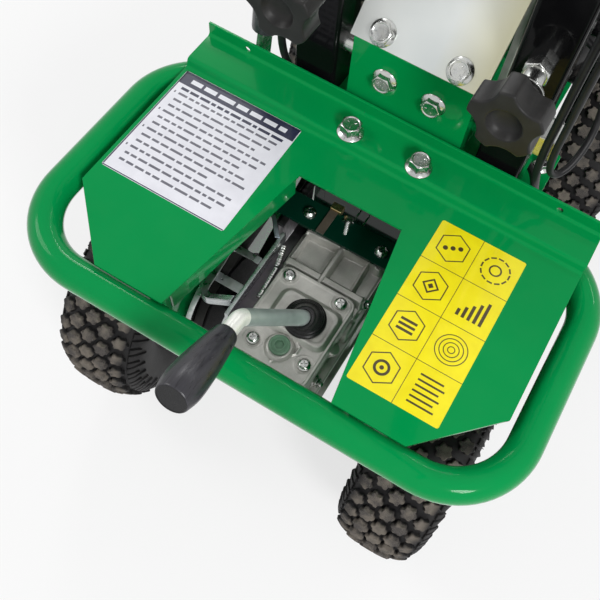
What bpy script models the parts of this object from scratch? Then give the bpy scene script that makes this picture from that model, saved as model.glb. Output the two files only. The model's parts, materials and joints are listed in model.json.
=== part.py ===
# Petrol turf cutter with a four-wheel chassis, geared drive and an oscillating blade.
# Metres, +Z up, +Y forwards, +X to the machine's right. The ground is z = 0.

import math

import bmesh
import bpy
from mathutils import Matrix, Vector

# Clearances
gap = 0.0003            # between pieces that touch or turn in one another

# Wheels and axles
wheel_radius = 0.135
tyre_width = 0.090
tread_depth = 0.007
tread_steps = 14
rim_steps = 12
rim_radius = 0.056
hub_radius = 0.022
bead_half = 0.028       # half the width between the tyre's beads
rim_reach = 0.034       # wheel centre to the end of its hub
rear_axle_y = -0.065
front_axle_y = 0.390
rear_track_half = 0.170
front_track_half = 0.175
axle_radius = 0.0125

# Frame
frame_half = 0.105      # centreline to the outer face of a side plate
frame_gauge = 0.005
deck_top = 0.270
deck_gauge = 0.005
deck_rear_y = 0.126
deck_front_y = 0.600
deck_half = 0.120
deck_shoulder_half = 0.150
deck_shoulder_y = 0.236
frame_bottom = 0.085
bearing_reach = 0.0130  # side plate face to the end of a bearing
belt_slot_end = 0.372
belt_room = 0.013       # belt centreline to the edge of its slot

# Rear cover plate
cover_top = 0.325
cover_gauge = 0.003
cover_half = 0.2185
cover_rear_y = -0.155
cover_chamfer_y = -0.090
cover_chamfer_half = 0.154
riser_y = 0.076
shelf_bolts = (-0.0375, 0.0375)
shelf_bolt_y = 0.088
shelf_rise = 0.010
flange_y = 0.118
flange_rise = 0.015
end_hole_x = 0.173
end_hole_z = 0.3405
notch_front_y = 0.024
notch_front_half = 0.055
notch_rear_half = 0.084
notch_skirt_depth = 0.024
skirt_inset = 0.0005            # from the notch's cut edge to the skirt welded beside it

# Rear guard tube
guard_radius = 0.016
guard_half = 0.241      # centreline
guard_rear_y = -0.165
guard_front_y = 0.095
guard_bend = 0.070

# Tower and handlebar
tower_half = 0.0625
tower_y = 0.122
tower_gauge = 0.005
tower_depth = 0.066
tower_face_top = 0.4170
face_bolts = (-0.0255, 0.0255)
face_bolt_z = 0.3835
guard_plate_half = 0.066
plate_bolts = (-0.0385, 0.0385)
guard_plate_length = 0.098
guard_plate_gauge = 0.004
post_width = 0.045
post_x = 0.101
post_y = 0.145
post_bottom = 0.325
post_top = 0.620
post_bolt_z = 0.387
post_bolt_radius = 0.008
bar_radius = 0.0145
bar_rear_y = -0.5986
bar_spread = 0.230
bar_end_z = 0.930
bar_bend_y = -0.270
bar_bend_z = 0.905
lever_clamp_y = -0.440
lever_clamp_end = -0.424
throttle_y = -0.375
throttle_reach = 0.014
grip_radius = 0.019
grip_length = 0.125
clamp_z = 0.479
knob_radius = 0.036
knob_depth = 0.040
knob_stud_radius = 0.006
clamp_stack = 0.0337    # nut, spacer and washer behind a knob

# Gearbox
gear_x = 0.0085
gear_top = 0.265
gear_rear_y = -0.140
gear_front_y = -0.035
gear_half = 0.0415
gear_bottom = 0.150
cover_lid_depth = 0.006
boot_x = 0.015
boot_y = -0.076
boot_radius = 0.025
boot_height = 0.024
lever_radius = 0.006
plug_x = 0.010
plug_y = -0.114
plug_pad = 0.0045        # height of the pad under the plug

# Belts, pulleys and chain
drive_belt_x = -0.084
blade_belt_x = -0.066
belt_width = 0.010
belt_depth = 0.008
crank_y = 0.360
crank_z = 0.376
engine_pulley_radius = 0.032
input_y = -0.065
input_z = 0.190
input_pulley_radius = 0.045
cam_y = 0.240
cam_z = 0.225
cam_pulley_radius = 0.055
pulley_width = 0.016
idler_radius = 0.020
drive_idler_y = 0.215
drive_idler_z = 0.3050
drive_idler_pivot = (0.270, 0.250)
blade_idler_y = 0.327
blade_idler_z = 0.2450
blade_idler_pivot = (0.385, 0.225)
drive_idler_release = -6.0      # degrees back from the belt while its hand lever is let go
blade_idler_release = 6.0
belt_slack = 0.0025             # free play between an idler and its belt
chain_x = 0.0875
chain_pitch = 0.015875
chain_width = 0.011
chain_plate = 0.0072    # half height of a side plate at its pin
chain_bed = 0.75        # share of that height by which the band lies inside the pitch line
output_y = 0.010
output_z = 0.190
output_teeth = 9
axle_teeth = 21

# Depth carriage
pivot_y = 0.092
pivot_z = 0.120
pivot_radius = 0.010
arm_x = 0.113
arm_gauge = 0.010
depth_lever_x = 0.166
depth_lever_top = 0.385
depth_lever_lean = 0.195

# Blade and its linkage
blade_half = 0.1645
blade_gauge = 0.006
blade_low = 0.030
blade_width = 0.052
blade_arm_x = 0.154
blade_arm_gauge = 0.008
rocker_y = 0.155
rocker_z = 0.243
rocker_radius = 0.008
cam_disc_x = 0.133
cam_disc_gauge = 0.010
cam_disc_radius = 0.028
cam_throw = 0.006
rod_pin_z = 0.150
rod_pin_radius = 0.006

# Engine
engine_rear_y = 0.262
block_left = -0.044
block_right = 0.070
fan_radius = 0.118
fan_depth = 0.060
recoil_depth = 0.040
cap_x = 0.066
cap_y = 0.350
starter_x = 0.151

collection = None
cutters = None
palette = {}


# Scene and materials

def clear_scene():
    for item in list(bpy.data.objects):
        bpy.data.objects.remove(item, do_unlink=True)


def new_collection(name):
    made = bpy.data.collections.new(name)
    bpy.context.scene.collection.children.link(made)
    return made


def material(name, colour, roughness, metallic):
    made = bpy.data.materials.new(name)
    made.use_nodes = True
    shader = made.node_tree.nodes["Principled BSDF"]
    shader.inputs["Base Color"].default_value = (*colour, 1.0)
    shader.inputs["Roughness"].default_value = roughness
    shader.inputs["Metallic"].default_value = metallic
    palette[name] = made
    return made


def make_palette():
    material("green_paint", (0.005, 0.33, 0.08), 0.28, 0.0)
    material("black_paint", (0.015, 0.015, 0.017), 0.35, 0.0)
    material("zinc", (0.62, 0.62, 0.58), 0.30, 1.0)
    material("steel", (0.45, 0.45, 0.46), 0.35, 1.0)
    material("cast_aluminium", (0.42, 0.41, 0.39), 0.48, 1.0)
    material("black_plastic", (0.03, 0.03, 0.035), 0.45, 0.0)
    material("grip_plastic", (0.05, 0.048, 0.058), 0.40, 0.0)
    material("tyre_rubber", (0.02, 0.019, 0.018), 0.75, 0.0)
    material("belt_rubber", (0.018, 0.018, 0.018), 0.65, 0.0)
    material("rim_paint", (0.55, 0.55, 0.54), 0.40, 0.0)
    material("plug_paint", (0.09, 0.17, 0.11), 0.45, 0.0)
    material("tank_paint", (0.02, 0.02, 0.022), 0.25, 0.0)


# Placing and joining

def put(obj, material_name, where=None):
    if material_name:
        obj.data.materials.clear()
        obj.data.materials.append(palette[material_name])
    (where or collection).objects.link(obj)
    return obj


def mesh_object(name, bm, material_name, smooth=False):
    mesh = bpy.data.meshes.new(name)
    bmesh.ops.recalc_face_normals(bm, faces=bm.faces)
    bm.to_mesh(mesh)
    bm.free()
    obj = put(bpy.data.objects.new(name, mesh), material_name)
    if smooth:
        mesh.shade_smooth()
        mesh.set_sharp_from_angle(angle=math.radians(35))
    return obj


def block(name, low, high, material_name, bevel=0.0, segments=1):
    bm = bmesh.new()
    bmesh.ops.create_cube(bm, size=1.0)
    size = Vector(high) - Vector(low)
    middle = (Vector(high) + Vector(low)) / 2
    bmesh.ops.scale(bm, vec=size, verts=bm.verts)
    bmesh.ops.translate(bm, vec=middle, verts=bm.verts)
    obj = mesh_object(name, bm, material_name)
    if bevel:
        modifier = obj.modifiers.new("edges", "BEVEL")
        modifier.width = bevel
        modifier.segments = segments
    return obj


def bore(radius, sides=10):
    """The corner radius of a hole with flat sides that clears a shaft all round."""
    return (radius + gap) / math.cos(math.pi / sides)


def turning(axis):
    return Vector((0, 0, 1)).rotation_difference(Vector(axis)).to_matrix().to_4x4()


def cylinder(name, radius, start, end, material_name, sides=10, end_radius=None):
    start = Vector(start)
    end = Vector(end)
    bm = bmesh.new()
    bmesh.ops.create_cone(bm, cap_ends=True, segments=sides, radius1=radius,
                          radius2=radius if end_radius is None else end_radius,
                          depth=(end - start).length)
    place = Matrix.Translation((start + end) / 2) @ turning(end - start)
    bmesh.ops.transform(bm, matrix=place, verts=bm.verts)
    return mesh_object(name, bm, material_name, smooth=sides > 8)


def turned(name, profile, at, axis, material_name, steps=16):
    """A closed outline of (radius, height) points, outer side running down, turned about an axis."""
    mesh = bpy.data.meshes.new(name)
    closed = profile[0][0] > 0 or profile[-1][0] > 0
    count = len(profile)
    links = [(i, i + 1) for i in range(count - 1)]
    if closed:
        links.append((count - 1, 0))
    mesh.from_pydata([(r, 0, h) for r, h in profile], links, [])
    obj = put(bpy.data.objects.new(name, mesh), material_name)
    obj.matrix_world = Matrix.Translation(at) @ turning(axis)
    screw = obj.modifiers.new("turn", "SCREW")
    screw.axis = "Z"
    screw.steps = steps
    screw.render_steps = steps
    screw.use_merge_vertices = True
    screw.merge_threshold = 0.00001
    screw.use_smooth_shade = True
    return obj


def circle(x, y, radius, sides=10):
    step = 2 * math.pi / sides
    return [(x + radius * math.cos(i * step), y + radius * math.sin(i * step)) for i in range(sides)]


def rounded(points, radius, steps=2):
    """The same closed outline with every corner turned into an arc."""
    made = []
    count = len(points)
    for i in range(count):
        here = Vector(points[i])
        back = (Vector(points[i - 1]) - here)
        ahead = (Vector(points[(i + 1) % count]) - here)
        size = radius[i] if isinstance(radius, (list, tuple)) else radius
        if size <= 0:
            made.append(tuple(here))
            continue
        made.extend(corner_arc(here, back, ahead, size, steps))
    return made


def corner_arc(here, back, ahead, size, steps):
    half = back.angle(ahead) / 2
    reach = min(size / math.tan(half), back.length * 0.49, ahead.length * 0.49)
    size = reach * math.tan(half)
    centre = here + (back.normalized() + ahead.normalized()).normalized() * size / math.sin(half)
    first = here + back.normalized() * reach - centre
    last = here + ahead.normalized() * reach - centre
    sweep = first.angle(last)
    arc = []
    for i in range(steps + 1):
        t = i / steps
        blend = (first * math.sin((1 - t) * sweep) + last * math.sin(t * sweep)) / math.sin(sweep)
        arc.append(tuple(centre + blend))
    return arc


def bent(points, radius, steps=6):
    """An open route whose inner corners are bends of one radius."""
    route = [Vector(p) for p in points]
    made = [tuple(route[0])]
    for i in range(1, len(route) - 1):
        made.extend(corner_arc(route[i], route[i - 1] - route[i], route[i + 1] - route[i], radius, steps))
    made.append(tuple(route[-1]))
    return made


facings = {
    "X": Matrix(((0, 0, 1, 0), (1, 0, 0, 0), (0, 1, 0, 0), (0, 0, 0, 1))),
    "Y": Matrix(((1, 0, 0, 0), (0, 0, -1, 0), (0, 1, 0, 0), (0, 0, 0, 1))),
    "Z": Matrix.Identity(4),
}


def sheet(name, outline, low, high, facing, material_name, holes=()):
    """A flat outline with holes, filled and thickened from low to high along its facing axis.
    Facing X takes (y, z) points, facing Y takes (x, z) and facing Z takes (x, y)."""
    curve = bpy.data.curves.new(name, "CURVE")
    curve.dimensions = "2D"
    curve.fill_mode = "BOTH"
    curve.extrude = (high - low) / 2
    for loop in (outline, *holes):
        spline = curve.splines.new("POLY")
        spline.points.add(len(loop) - 1)
        for point, place in zip(spline.points, loop):
            point.co = (place[0], place[1], 0, 1)
        spline.use_cyclic_u = True
    obj = put(bpy.data.objects.new(name, curve), material_name)
    offset = {"X": ((low + high) / 2, 0, 0), "Y": (0, (low + high) / 2, 0), "Z": (0, 0, (low + high) / 2)}
    obj.matrix_world = Matrix.Translation(offset[facing]) @ facings[facing]
    return obj


def pipe(name, points, radius, material_name, sides=2):
    curve = bpy.data.curves.new(name, "CURVE")
    curve.dimensions = "3D"
    curve.bevel_depth = radius
    curve.bevel_resolution = sides
    curve.use_fill_caps = True
    spline = curve.splines.new("POLY")
    spline.points.add(len(points) - 1)
    for point, place in zip(spline.points, points):
        point.co = (*place, 1)
    return put(bpy.data.objects.new(name, curve), material_name)


def solid(obj):
    """The object's evaluated mesh in world space, welded, in place of the object."""
    bpy.context.view_layer.update()
    graph = bpy.context.evaluated_depsgraph_get()
    mesh = bpy.data.meshes.new_from_object(obj.evaluated_get(graph), depsgraph=graph)
    mesh.transform(obj.matrix_world)
    bm = bmesh.new()
    bm.from_mesh(mesh)
    bmesh.ops.remove_doubles(bm, verts=bm.verts, dist=0.000005)
    bm.to_mesh(mesh)
    bm.free()
    name = obj.name
    slots = [slot for slot in obj.data.materials]
    bpy.data.objects.remove(obj, do_unlink=True)
    made = bpy.data.objects.new(name, mesh)
    made.name = name
    mesh.materials.clear()
    for slot in slots:
        mesh.materials.append(slot)
    mesh.shade_smooth()
    mesh.set_sharp_from_angle(angle=math.radians(35))
    collection.objects.link(made)
    return made


def store(tool):
    for owner in list(tool.users_collection):
        owner.objects.unlink(tool)
    cutters.objects.link(tool)
    tool.hide_render = True
    tool.display_type = "WIRE"


def shape(base, tools, operation):
    for tool in tools:
        modifier = base.modifiers.new(operation.lower(), "BOOLEAN")
        modifier.operation = operation
        modifier.object = tool
        store(tool)
    return base


def cut(base, *tools):
    return shape(base, [tool if tool.type == "MESH" else solid(tool) for tool in tools], "DIFFERENCE")


def join(base, *tools):
    return shape(base, [tool if tool.type == "MESH" else solid(tool) for tool in tools], "UNION")


# Belt and chain routes

def tangent(first, second):
    """The tangent from one wheel to the next on a route that runs anticlockwise. A wheel is
    (y, z, radius, side): side 1 is inside the loop, side -1 presses on it from outside."""
    y1, z1, r1, s1 = first
    y2, z2, r2, s2 = second
    dy = y2 - y1
    dz = z2 - z1
    distance = math.hypot(dy, dz)
    heading = math.atan2(dz, dy)
    tilt = math.asin((s2 * r2 - s1 * r1) / distance)
    normal = heading - math.pi / 2 - tilt
    return (normal if s1 > 0 else normal + math.pi), (normal if s2 > 0 else normal + math.pi)


def belt_loop(wheels, offset, step=math.radians(20)):
    """Points of a loop round the wheels, pushed outwards by an offset."""
    grown = [(y, z, (r + s * offset) / math.cos(step / 2), s) for y, z, r, s in wheels]
    count = len(grown)
    made = []
    for i in range(count):
        arrive = tangent(grown[i - 1], grown[i])[1]
        leave = tangent(grown[i], grown[(i + 1) % count])[0]
        y, z, r, side = grown[i]
        sweep = (leave - arrive) % (2 * math.pi) if side > 0 else -((arrive - leave) % (2 * math.pi))
        steps = max(1, round(abs(sweep) / step))
        for k in range(steps + 1):
            angle = arrive + sweep * k / steps
            made.append((y + r * math.cos(angle), z + r * math.sin(angle)))
    return made


def belt(name, wheels, x):
    outer = belt_loop(wheels, belt_depth + gap)
    inner = belt_loop(wheels, gap)
    return sheet(name, outer, x - belt_width / 2, x + belt_width / 2, "X", "belt_rubber", [inner])


def pitch_radius(teeth):
    return chain_pitch / (2 * math.sin(math.pi / teeth))


def walk(points, pitch):
    """Points a link apart along a closed loop, with the pitch eased to fit a whole number."""
    loop = [Vector(p) for p in points] + [Vector(points[0])]
    lengths = [(b - a).length for a, b in zip(loop, loop[1:])]
    total = sum(lengths)
    count = 2 * round(total / pitch / 2)
    made = []
    for k in range(count):
        left = total * k / count
        for a, b, size in zip(loop, loop[1:], lengths):
            if left <= size:
                made.append(a.lerp(b, left / size if size else 0))
                break
            left -= size
    return made


def chain_side(pins, wide, narrow):
    """One edge of the chain's side view: wide at each pin and drawn in between pins."""
    made = []
    count = len(pins)
    for i in range(count):
        here = pins[i]
        ahead = pins[(i + 1) % count]
        before = pins[i - 1]
        along = (ahead - before).normalized()
        out = Vector((along.y, -along.x))
        made.append(tuple(here + out * wide))
        middle = (here + ahead) / 2
        run = (ahead - here).normalized()
        made.append(tuple(middle + Vector((run.y, -run.x)) * narrow))
    return made


# Fasteners

def bolt_head(name, seat, axis, across, height, flange, turn=0.2):
    """A hexagon head on a round flange, let half a millimetre into its seat to join it."""
    up = Vector(axis).normalized()
    foot = Vector(seat) - up * 0.0005
    washer = cylinder(name + "_flange", flange, foot, foot + up * 0.0025, "zinc", 14, flange * 0.93)
    head = cylinder(name, across / math.sqrt(3), (0, 0, 0), (0, 0, height), "zinc", 6)
    head.data.transform(Matrix.Translation(foot + up * 0.0005) @ turning(up) @ Matrix.Rotation(turn, 4, "Z"))
    return join(head, washer)


# Chassis

def make_side_plates():
    for side, word in ((-1, "left"), (1, "right")):
        make_side_plate(side, word)


def make_side_plate(side, word):
    top = cover_top - cover_gauge - gap
    step_top = deck_top - deck_gauge - gap
    outline = [(-0.135, 0.205), (-0.100, 0.160), (-0.030, frame_bottom), (0.430, frame_bottom), (0.560, 0.180),
               (deck_front_y - 0.012, step_top), (deck_rear_y - 0.004, step_top),
               (deck_rear_y - 0.006, top), (-0.135, top)]
    outer = side * frame_half
    inner = side * (frame_half - frame_gauge)
    window = rounded([(0.150, 0.105), (0.330, 0.105), (0.310, 0.170), (0.165, 0.170)], 0.015)
    web = solid(sheet("side_plate_" + word, rounded(outline, [0.010, 0.02, 0.03, 0.03, 0.02, 0, 0, 0, 0.012]),
                      min(inner, outer), max(inner, outer), "X", "green_paint", [window]))
    far = blade_arm_x + blade_arm_gauge / 2
    near = blade_arm_x - blade_arm_gauge / 2
    pieces = [cylinder("spindle", rocker_radius, (inner + side * 0.001, rocker_y, rocker_z),
                       (side * (far + gap + 0.001), rocker_y, rocker_z), "green_paint"),
              cylinder("shoulder", rocker_radius + 0.005, (inner + side * 0.002, rocker_y, rocker_z),
                       (side * (near - gap), rocker_y, rocker_z), "green_paint"),
              cylinder("lock", rocker_radius + 0.004, (side * (far + gap), rocker_y, rocker_z),
                       (side * (far + 0.003), rocker_y, rocker_z), "green_paint", 6)]
    bores = [cylinder("pivot_bore", bore(pivot_radius), (inner - side * 0.01, pivot_y, pivot_z),
                      (outer + side * 0.01, pivot_y, pivot_z), "green_paint")]
    for y, z in ((cam_y, cam_z), (front_axle_y, wheel_radius)):
        diamond = rounded([(y - 0.040, z), (y, z - 0.024), (y + 0.040, z), (y, z + 0.024)], [0.008, 0.02, 0.008, 0.02])
        face = sorted((outer - side * 0.001, outer + side * 0.005))
        pieces.append(sheet("bearing", diamond, face[0], face[1], "X", "green_paint"))
        pieces.append(cylinder("nose", 0.0195, (inner + side * 0.001, y, z), (outer + side * bearing_reach, y, z),
                               "green_paint"))
        bores.append(cylinder("bore", bore(axle_radius), (inner - side * 0.01, y, z),
                              (outer + side * 0.03, y, z), "green_paint"))
    cut(join(web, *pieces), *bores)


def make_deck():
    half = deck_half
    wide = deck_shoulder_half
    left = drive_belt_x - belt_room
    right = blade_belt_x + belt_room
    outline = [(-wide, deck_rear_y), (left, deck_rear_y), (left, belt_slot_end), (right, belt_slot_end),
               (right, deck_rear_y), (wide, deck_rear_y), (wide, deck_shoulder_y), (half, deck_shoulder_y + 0.02),
               (half, deck_front_y), (-half, deck_front_y), (-half, deck_shoulder_y + 0.02), (-wide, deck_shoulder_y)]
    plate = solid(sheet("engine_deck", outline, deck_top - deck_gauge, deck_top, "Z", "green_paint"))
    lip = block("lip", (-half, deck_front_y - deck_gauge, deck_top - 0.045), (half, deck_front_y, deck_top - 0.001),
                "green_paint")
    join(plate, lip)


def make_rear_cover():
    under = cover_top - cover_gauge
    rise = shelf_rise
    thick = cover_gauge
    lean = 0.0028
    flange_top = cover_top + rise + flange_rise
    section = [(cover_rear_y, under), (riser_y, under), (riser_y + lean, under + rise),
               (flange_y - 0.002, under + rise), (flange_y, under + rise + 0.002), (flange_y, flange_top - 0.0006),
               (flange_y - 0.0006, flange_top), (flange_y - thick, flange_top), (flange_y - thick, cover_top + rise),
               (riser_y + lean - thick * 0.8, cover_top + rise), (riser_y - thick * 0.8, cover_top),
               (cover_rear_y, cover_top)]
    cover = solid(sheet("rear_cover", section, -cover_half, cover_half, "X", "green_paint"))
    reach = 0.02
    slope = (notch_rear_half - notch_front_half) / (notch_front_y - cover_rear_y)
    far = cover_rear_y - reach
    far_half = notch_rear_half + slope * reach
    notch = [(-notch_front_half, notch_front_y), (-far_half, far), (far_half, far), (notch_front_half, notch_front_y)]
    tools = [sheet("notch", notch, under - 0.01, cover_top + 0.01, "Z", "green_paint")]
    for side in (-1, 1):
        corner = [(side * (cover_half + 0.01), cover_chamfer_y + 0.0103), (side * cover_chamfer_half, cover_rear_y - 0.0001),
                  (side * cover_chamfer_half, far), (side * (cover_half + 0.01), far)]
        tools.append(sheet("corner", corner, under - 0.01, cover_top + 0.01, "Z", "green_paint"))
        tools.append(cylinder("end_hole", 0.0033, (side * end_hole_x, flange_y - 0.01, end_hole_z),
                              (side * end_hole_x, flange_y + 0.01, end_hole_z), "green_paint"))
    cut(cover, *tools)
    skirts = []
    skirt_rear = cover_rear_y + 0.012
    for side in (-1, 1):
        near = notch_front_half + skirt_inset
        rear_half = near + slope * (notch_front_y - skirt_rear)
        strip = [(side * near, notch_front_y), (side * rear_half, skirt_rear),
                 (side * (rear_half + thick), skirt_rear), (side * (near + thick), notch_front_y)]
        skirts.append(sheet("skirt", strip, under - notch_skirt_depth, cover_top - thick / 2, "Z", "green_paint"))
    bolts = [bolt_head("shelf_bolt", (x, shelf_bolt_y, cover_top + shelf_rise), (0, 0, 1), 0.018, 0.012, 0.0120)
             for x in shelf_bolts]
    join(cover, *skirts, *bolts)


def make_guard_tube():
    z = cover_top - cover_gauge - gap - guard_radius
    end = frame_half + gap
    route = bent([(-end, guard_front_y, z), (-guard_half, guard_front_y, z), (-guard_half, guard_rear_y, z),
                  (guard_half, guard_rear_y, z), (guard_half, guard_front_y, z), (end, guard_front_y, z)],
                 guard_bend, 5)
    pipe("rear_guard_tube", route, guard_radius, "green_paint", 2)


def make_tower():
    """A channel that opens forwards, cut off along the slope that carries the guard plate."""
    inner = tower_half - tower_gauge
    rear = tower_y
    front = tower_y + tower_depth
    channel = [(-tower_half, rear), (tower_half, rear), (tower_half, front), (inner, front), (inner, rear + tower_gauge),
               (-inner, rear + tower_gauge), (-inner, front), (-tower_half, front)]
    tower = solid(sheet("tower_bracket", channel, deck_top + gap, tower_face_top + tower_depth, "Z", "green_paint"))
    above = [(rear - 0.01, tower_face_top - 0.01), (front + 0.01, tower_face_top + tower_depth + 0.01),
             (rear - 0.01, tower_face_top + tower_depth + 0.01)]
    cut(tower, sheet("slope", above, -0.1, 0.1, "X", "green_paint"))
    ears = []
    for side in (-1, 1):
        near = side * (inner + 0.001)
        far = side * (post_x + post_width / 2 + 0.003)
        ears.append(block("ear", (min(near, far), post_y - post_width / 2, post_bottom - gap - 0.005),
                          (max(near, far), post_y + post_width / 2, post_bottom - gap), "green_paint"))
    join(tower, *ears)
    cut(tower, cylinder("post_hole", bore(post_bolt_radius), (-0.08, post_y, post_bolt_z), (0.08, post_y, post_bolt_z),
                        "green_paint"))
    join(tower, *[bolt_head("face_bolt", (x, tower_y, face_bolt_z), (0, -1, 0), 0.017, 0.0075, 0.0115, 0.5)
                  for x in face_bolts])


def slope_point(distance, out=0.0):
    """A point on the guard plate's slope, measured up from its lower edge and out from its face."""
    c = math.sqrt(0.5)
    return (tower_y + distance * c - out * c, tower_face_top + distance * c + out * c)


def make_guard_plate():
    low = 0.001
    high = guard_plate_length
    outline = [slope_point(low, 0.0003), slope_point(high, 0.0003), slope_point(high, guard_plate_gauge),
               slope_point(low, guard_plate_gauge)]
    plate = solid(sheet("guard_plate", outline, -guard_plate_half, guard_plate_half, "X", "zinc"))
    y, z = slope_point(0.0135, guard_plate_gauge)
    join(plate, *[bolt_head("plate_bolt", (x, y, z), (0, -1, 1), 0.017, 0.0075, 0.0115, 0.7) for x in plate_bolts])


def make_posts():
    for side, word in ((-1, "left"), (1, "right")):
        make_post(side, word)


def make_post(side, word):
    """A square post with its through-bolt and the nut, spacer and washer behind its star knob."""
    half = post_width / 2
    x = side * post_x
    rear = post_y - half
    tube = block("handle_post_" + word, (x - half, post_y - half, post_bottom), (x + half, post_y + half, post_top),
                 "black_paint", 0.004)
    bolt_parts = []
    for radius, near, far, sides in ((post_bolt_radius, tower_half - tower_gauge - 0.004, post_x, 12),
                                     (0.014, tower_half - tower_gauge - 0.010, tower_half - tower_gauge - gap, 6),
                                     (0.012, tower_half + gap, post_x - half + 0.002, 12),
                                     (0.020, post_x + half - 0.002, post_x + half + 0.020, 6),
                                     (post_bolt_radius, post_x, post_x + half + 0.022, 12)):
        bolt_parts.append(cylinder("bolt", radius, (side * near, post_y, post_bolt_z), (side * far, post_y, post_bolt_z),
                                   "black_paint", sides))
    for radius, near, far, sides in ((0.0125, -0.002, 0.011, 6), (0.0095, 0.010, 0.032, 10), (0.0165, 0.031, clamp_stack, 14)):
        bolt_parts.append(cylinder("stack", radius, (x, rear - near, clamp_z), (x, rear - far, clamp_z), "black_paint", sides))
    socket = cylinder("socket", bore(bar_radius), (x, post_y, post_top - 0.080), (x, post_y, post_top + 0.01), "black_paint")
    stud = cylinder("stud_hole", bore(knob_stud_radius), (x, rear - 0.06, clamp_z), (x, post_y, clamp_z), "black_paint")
    cut(join(tube, *bolt_parts), socket, stud)


def make_handlebar():
    def route(side):
        return bent([(side * post_x, post_y, post_top - 0.078), (side * post_x, post_y, 0.720),
                     (side * 0.150, 0.000, 0.865), (side * bar_spread, bar_bend_y, bar_bend_z),
                     (side * bar_spread, bar_rear_y + 0.004, bar_end_z)], 0.075, 3)
    left = solid(pipe("handlebar", route(-1), bar_radius, "black_paint", 2))
    right = pipe("right_bar", route(1), bar_radius, "black_paint", 2)
    cross = cylinder("cross", 0.011, (-0.152, -0.010, 0.866), (0.152, -0.010, 0.866), "black_paint", 14)
    mounts = lever_mount(-1) + lever_mount(1) + throttle_mount()
    join(left, right, cross, *mounts)


def make_grips():
    start = bar_rear_y + grip_length
    for side, word in ((-1, "left"), (1, "right")):
        grip = cylinder("grip_" + word, grip_radius, bar_point(side, start), bar_point(side, bar_rear_y),
                        "black_plastic", 16)
        hole = cylinder("hole", bore(bar_radius), bar_point(side, start + 0.01), bar_point(side, bar_rear_y + 0.003),
                        "black_plastic")
        collar = cylinder("collar", grip_radius + 0.004, bar_point(side, start), bar_point(side, start - 0.006),
                          "black_plastic", 16)
        cut(join(grip, collar), hole)


# Gearbox

def make_gearbox():
    """The cast housing: a box with a ribbed nose, a bolting rim, a foot and two shaft bosses."""
    left = gear_x - gear_half
    right = gear_x + gear_half
    base = gear_top - cover_lid_depth - gap
    body = solid(block("gearbox_housing", (left + 0.002, gear_rear_y + 0.004, gear_bottom),
                       (right - 0.002, gear_front_y - 0.001, base - 0.001), "cast_aluminium", 0.006))
    nose = solid(block("nose", (left - 0.004, gear_front_y - 0.010, gear_bottom + 0.012),
                       (right + 0.004, 0.046, base - 0.004), "cast_aluminium", 0.005))
    foot = block("foot", (left - 0.001, gear_rear_y, gear_bottom + 0.030),
                 (right + 0.001, gear_front_y + 0.004, gear_bottom + 0.044), "cast_aluminium")
    rim = solid(block("rim", (left, gear_rear_y + 0.001, base - 0.010), (right, gear_front_y, base), "cast_aluminium", 0.003))
    tools = [nose, foot, rim]
    for x in (left + 0.006, gear_x - 0.004, gear_x + 0.015):
        tools.append(block("rib", (x, gear_front_y - 0.004, base - 0.030), (x + 0.005, 0.0435, base - 0.0005),
                           "cast_aluminium"))
    for z in (0.167, 0.217):
        tools.append(block("side_rib", (gear_x, gear_rear_y + 0.012, z), (right + 0.0065, 0.0405, z + 0.005),
                           "cast_aluminium"))
    tools.append(cylinder("input_boss", 0.0195, (left + 0.010, input_y, input_z), (left - 0.006, input_y, input_z),
                          "cast_aluminium"))
    tools.append(cylinder("output_boss", 0.0195, (right - 0.010, output_y, output_z),
                          (right + 0.016, output_y, output_z), "cast_aluminium"))
    join(body, *tools)
    cut(body, cylinder("output_bore", bore(0.010), (right - 0.004, output_y, output_z),
                       (right + 0.030, output_y, output_z), "cast_aluminium"),
        cylinder("input_bore", bore(0.010), (left + 0.004, input_y, input_z),
                 (left - 0.030, input_y, input_z), "cast_aluminium"))


screw_places = [(gear_x - 0.0300, -0.045), (gear_x + 0.0270, -0.045), (gear_x - 0.0240, -0.119),
                (gear_x + 0.0300, -0.117)]


def make_gearbox_cover():
    left = gear_x - gear_half
    right = gear_x + gear_half
    outline = rounded([(left, gear_rear_y), (right, gear_rear_y), (right, gear_front_y), (left, gear_front_y)], 0.010)
    lid = solid(sheet("gearbox_cover", outline, gear_top - cover_lid_depth, gear_top, "Z", "cast_aluminium"))
    plateau = rounded([(-0.0145, -0.101), (0.0450, -0.101), (0.0450, -0.053), (-0.0145, -0.053)], 0.008)
    raised = sheet("plateau", plateau, gear_top - 0.002, gear_top + 0.004, "Z", "cast_aluminium")
    pad = cylinder("plug_pad", 0.0125, (plug_x, plug_y, gear_top - 0.003), (plug_x, plug_y, gear_top + plug_pad),
                   "cast_aluminium", 14)
    join(lid, raised, pad, *cover_screws([(x, y, gear_top) for x, y in screw_places]))


def cover_screws(seats):
    dome = [(0, 0.0045), (0.004, 0.0040), (0.0065, 0.0018), (0.0065, -0.0005), (0, -0.0005)]
    return [turned("screw", dome, seat, (0, 0, 1), "zinc", 8) for seat in seats]


def make_gearbox_fittings():
    plug_low = gear_top + plug_pad + gap
    plug = turned("filler_plug", [(0, plug_low + 0.003), (0.009, plug_low + 0.003), (0.0102, plug_low + 0.002),
                                  (0.0102, plug_low), (0, plug_low)], (plug_x, plug_y, 0), (0, 0, 1), "plug_paint", 14)
    cut(solid(plug), cylinder("socket", 0.0045, (plug_x, plug_y, plug_low + 0.001), (plug_x, plug_y, plug_low + 0.01),
                              "plug_paint", 6))
    low = gear_top + 0.004 + gap
    hole = bore(lever_radius, 12)
    profile = [(hole, boot_height), (hole + 0.003, boot_height), (0.013, 0.019), (0.0150, 0.0150),
               (0.0195, 0.0130), (0.0205, 0.0090), (boot_radius, 0.005), (boot_radius, 0), (hole, 0)]
    turned("shift_boot", profile, (boot_x, boot_y, low), (0, 0, 1), "black_plastic", 12)


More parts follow.
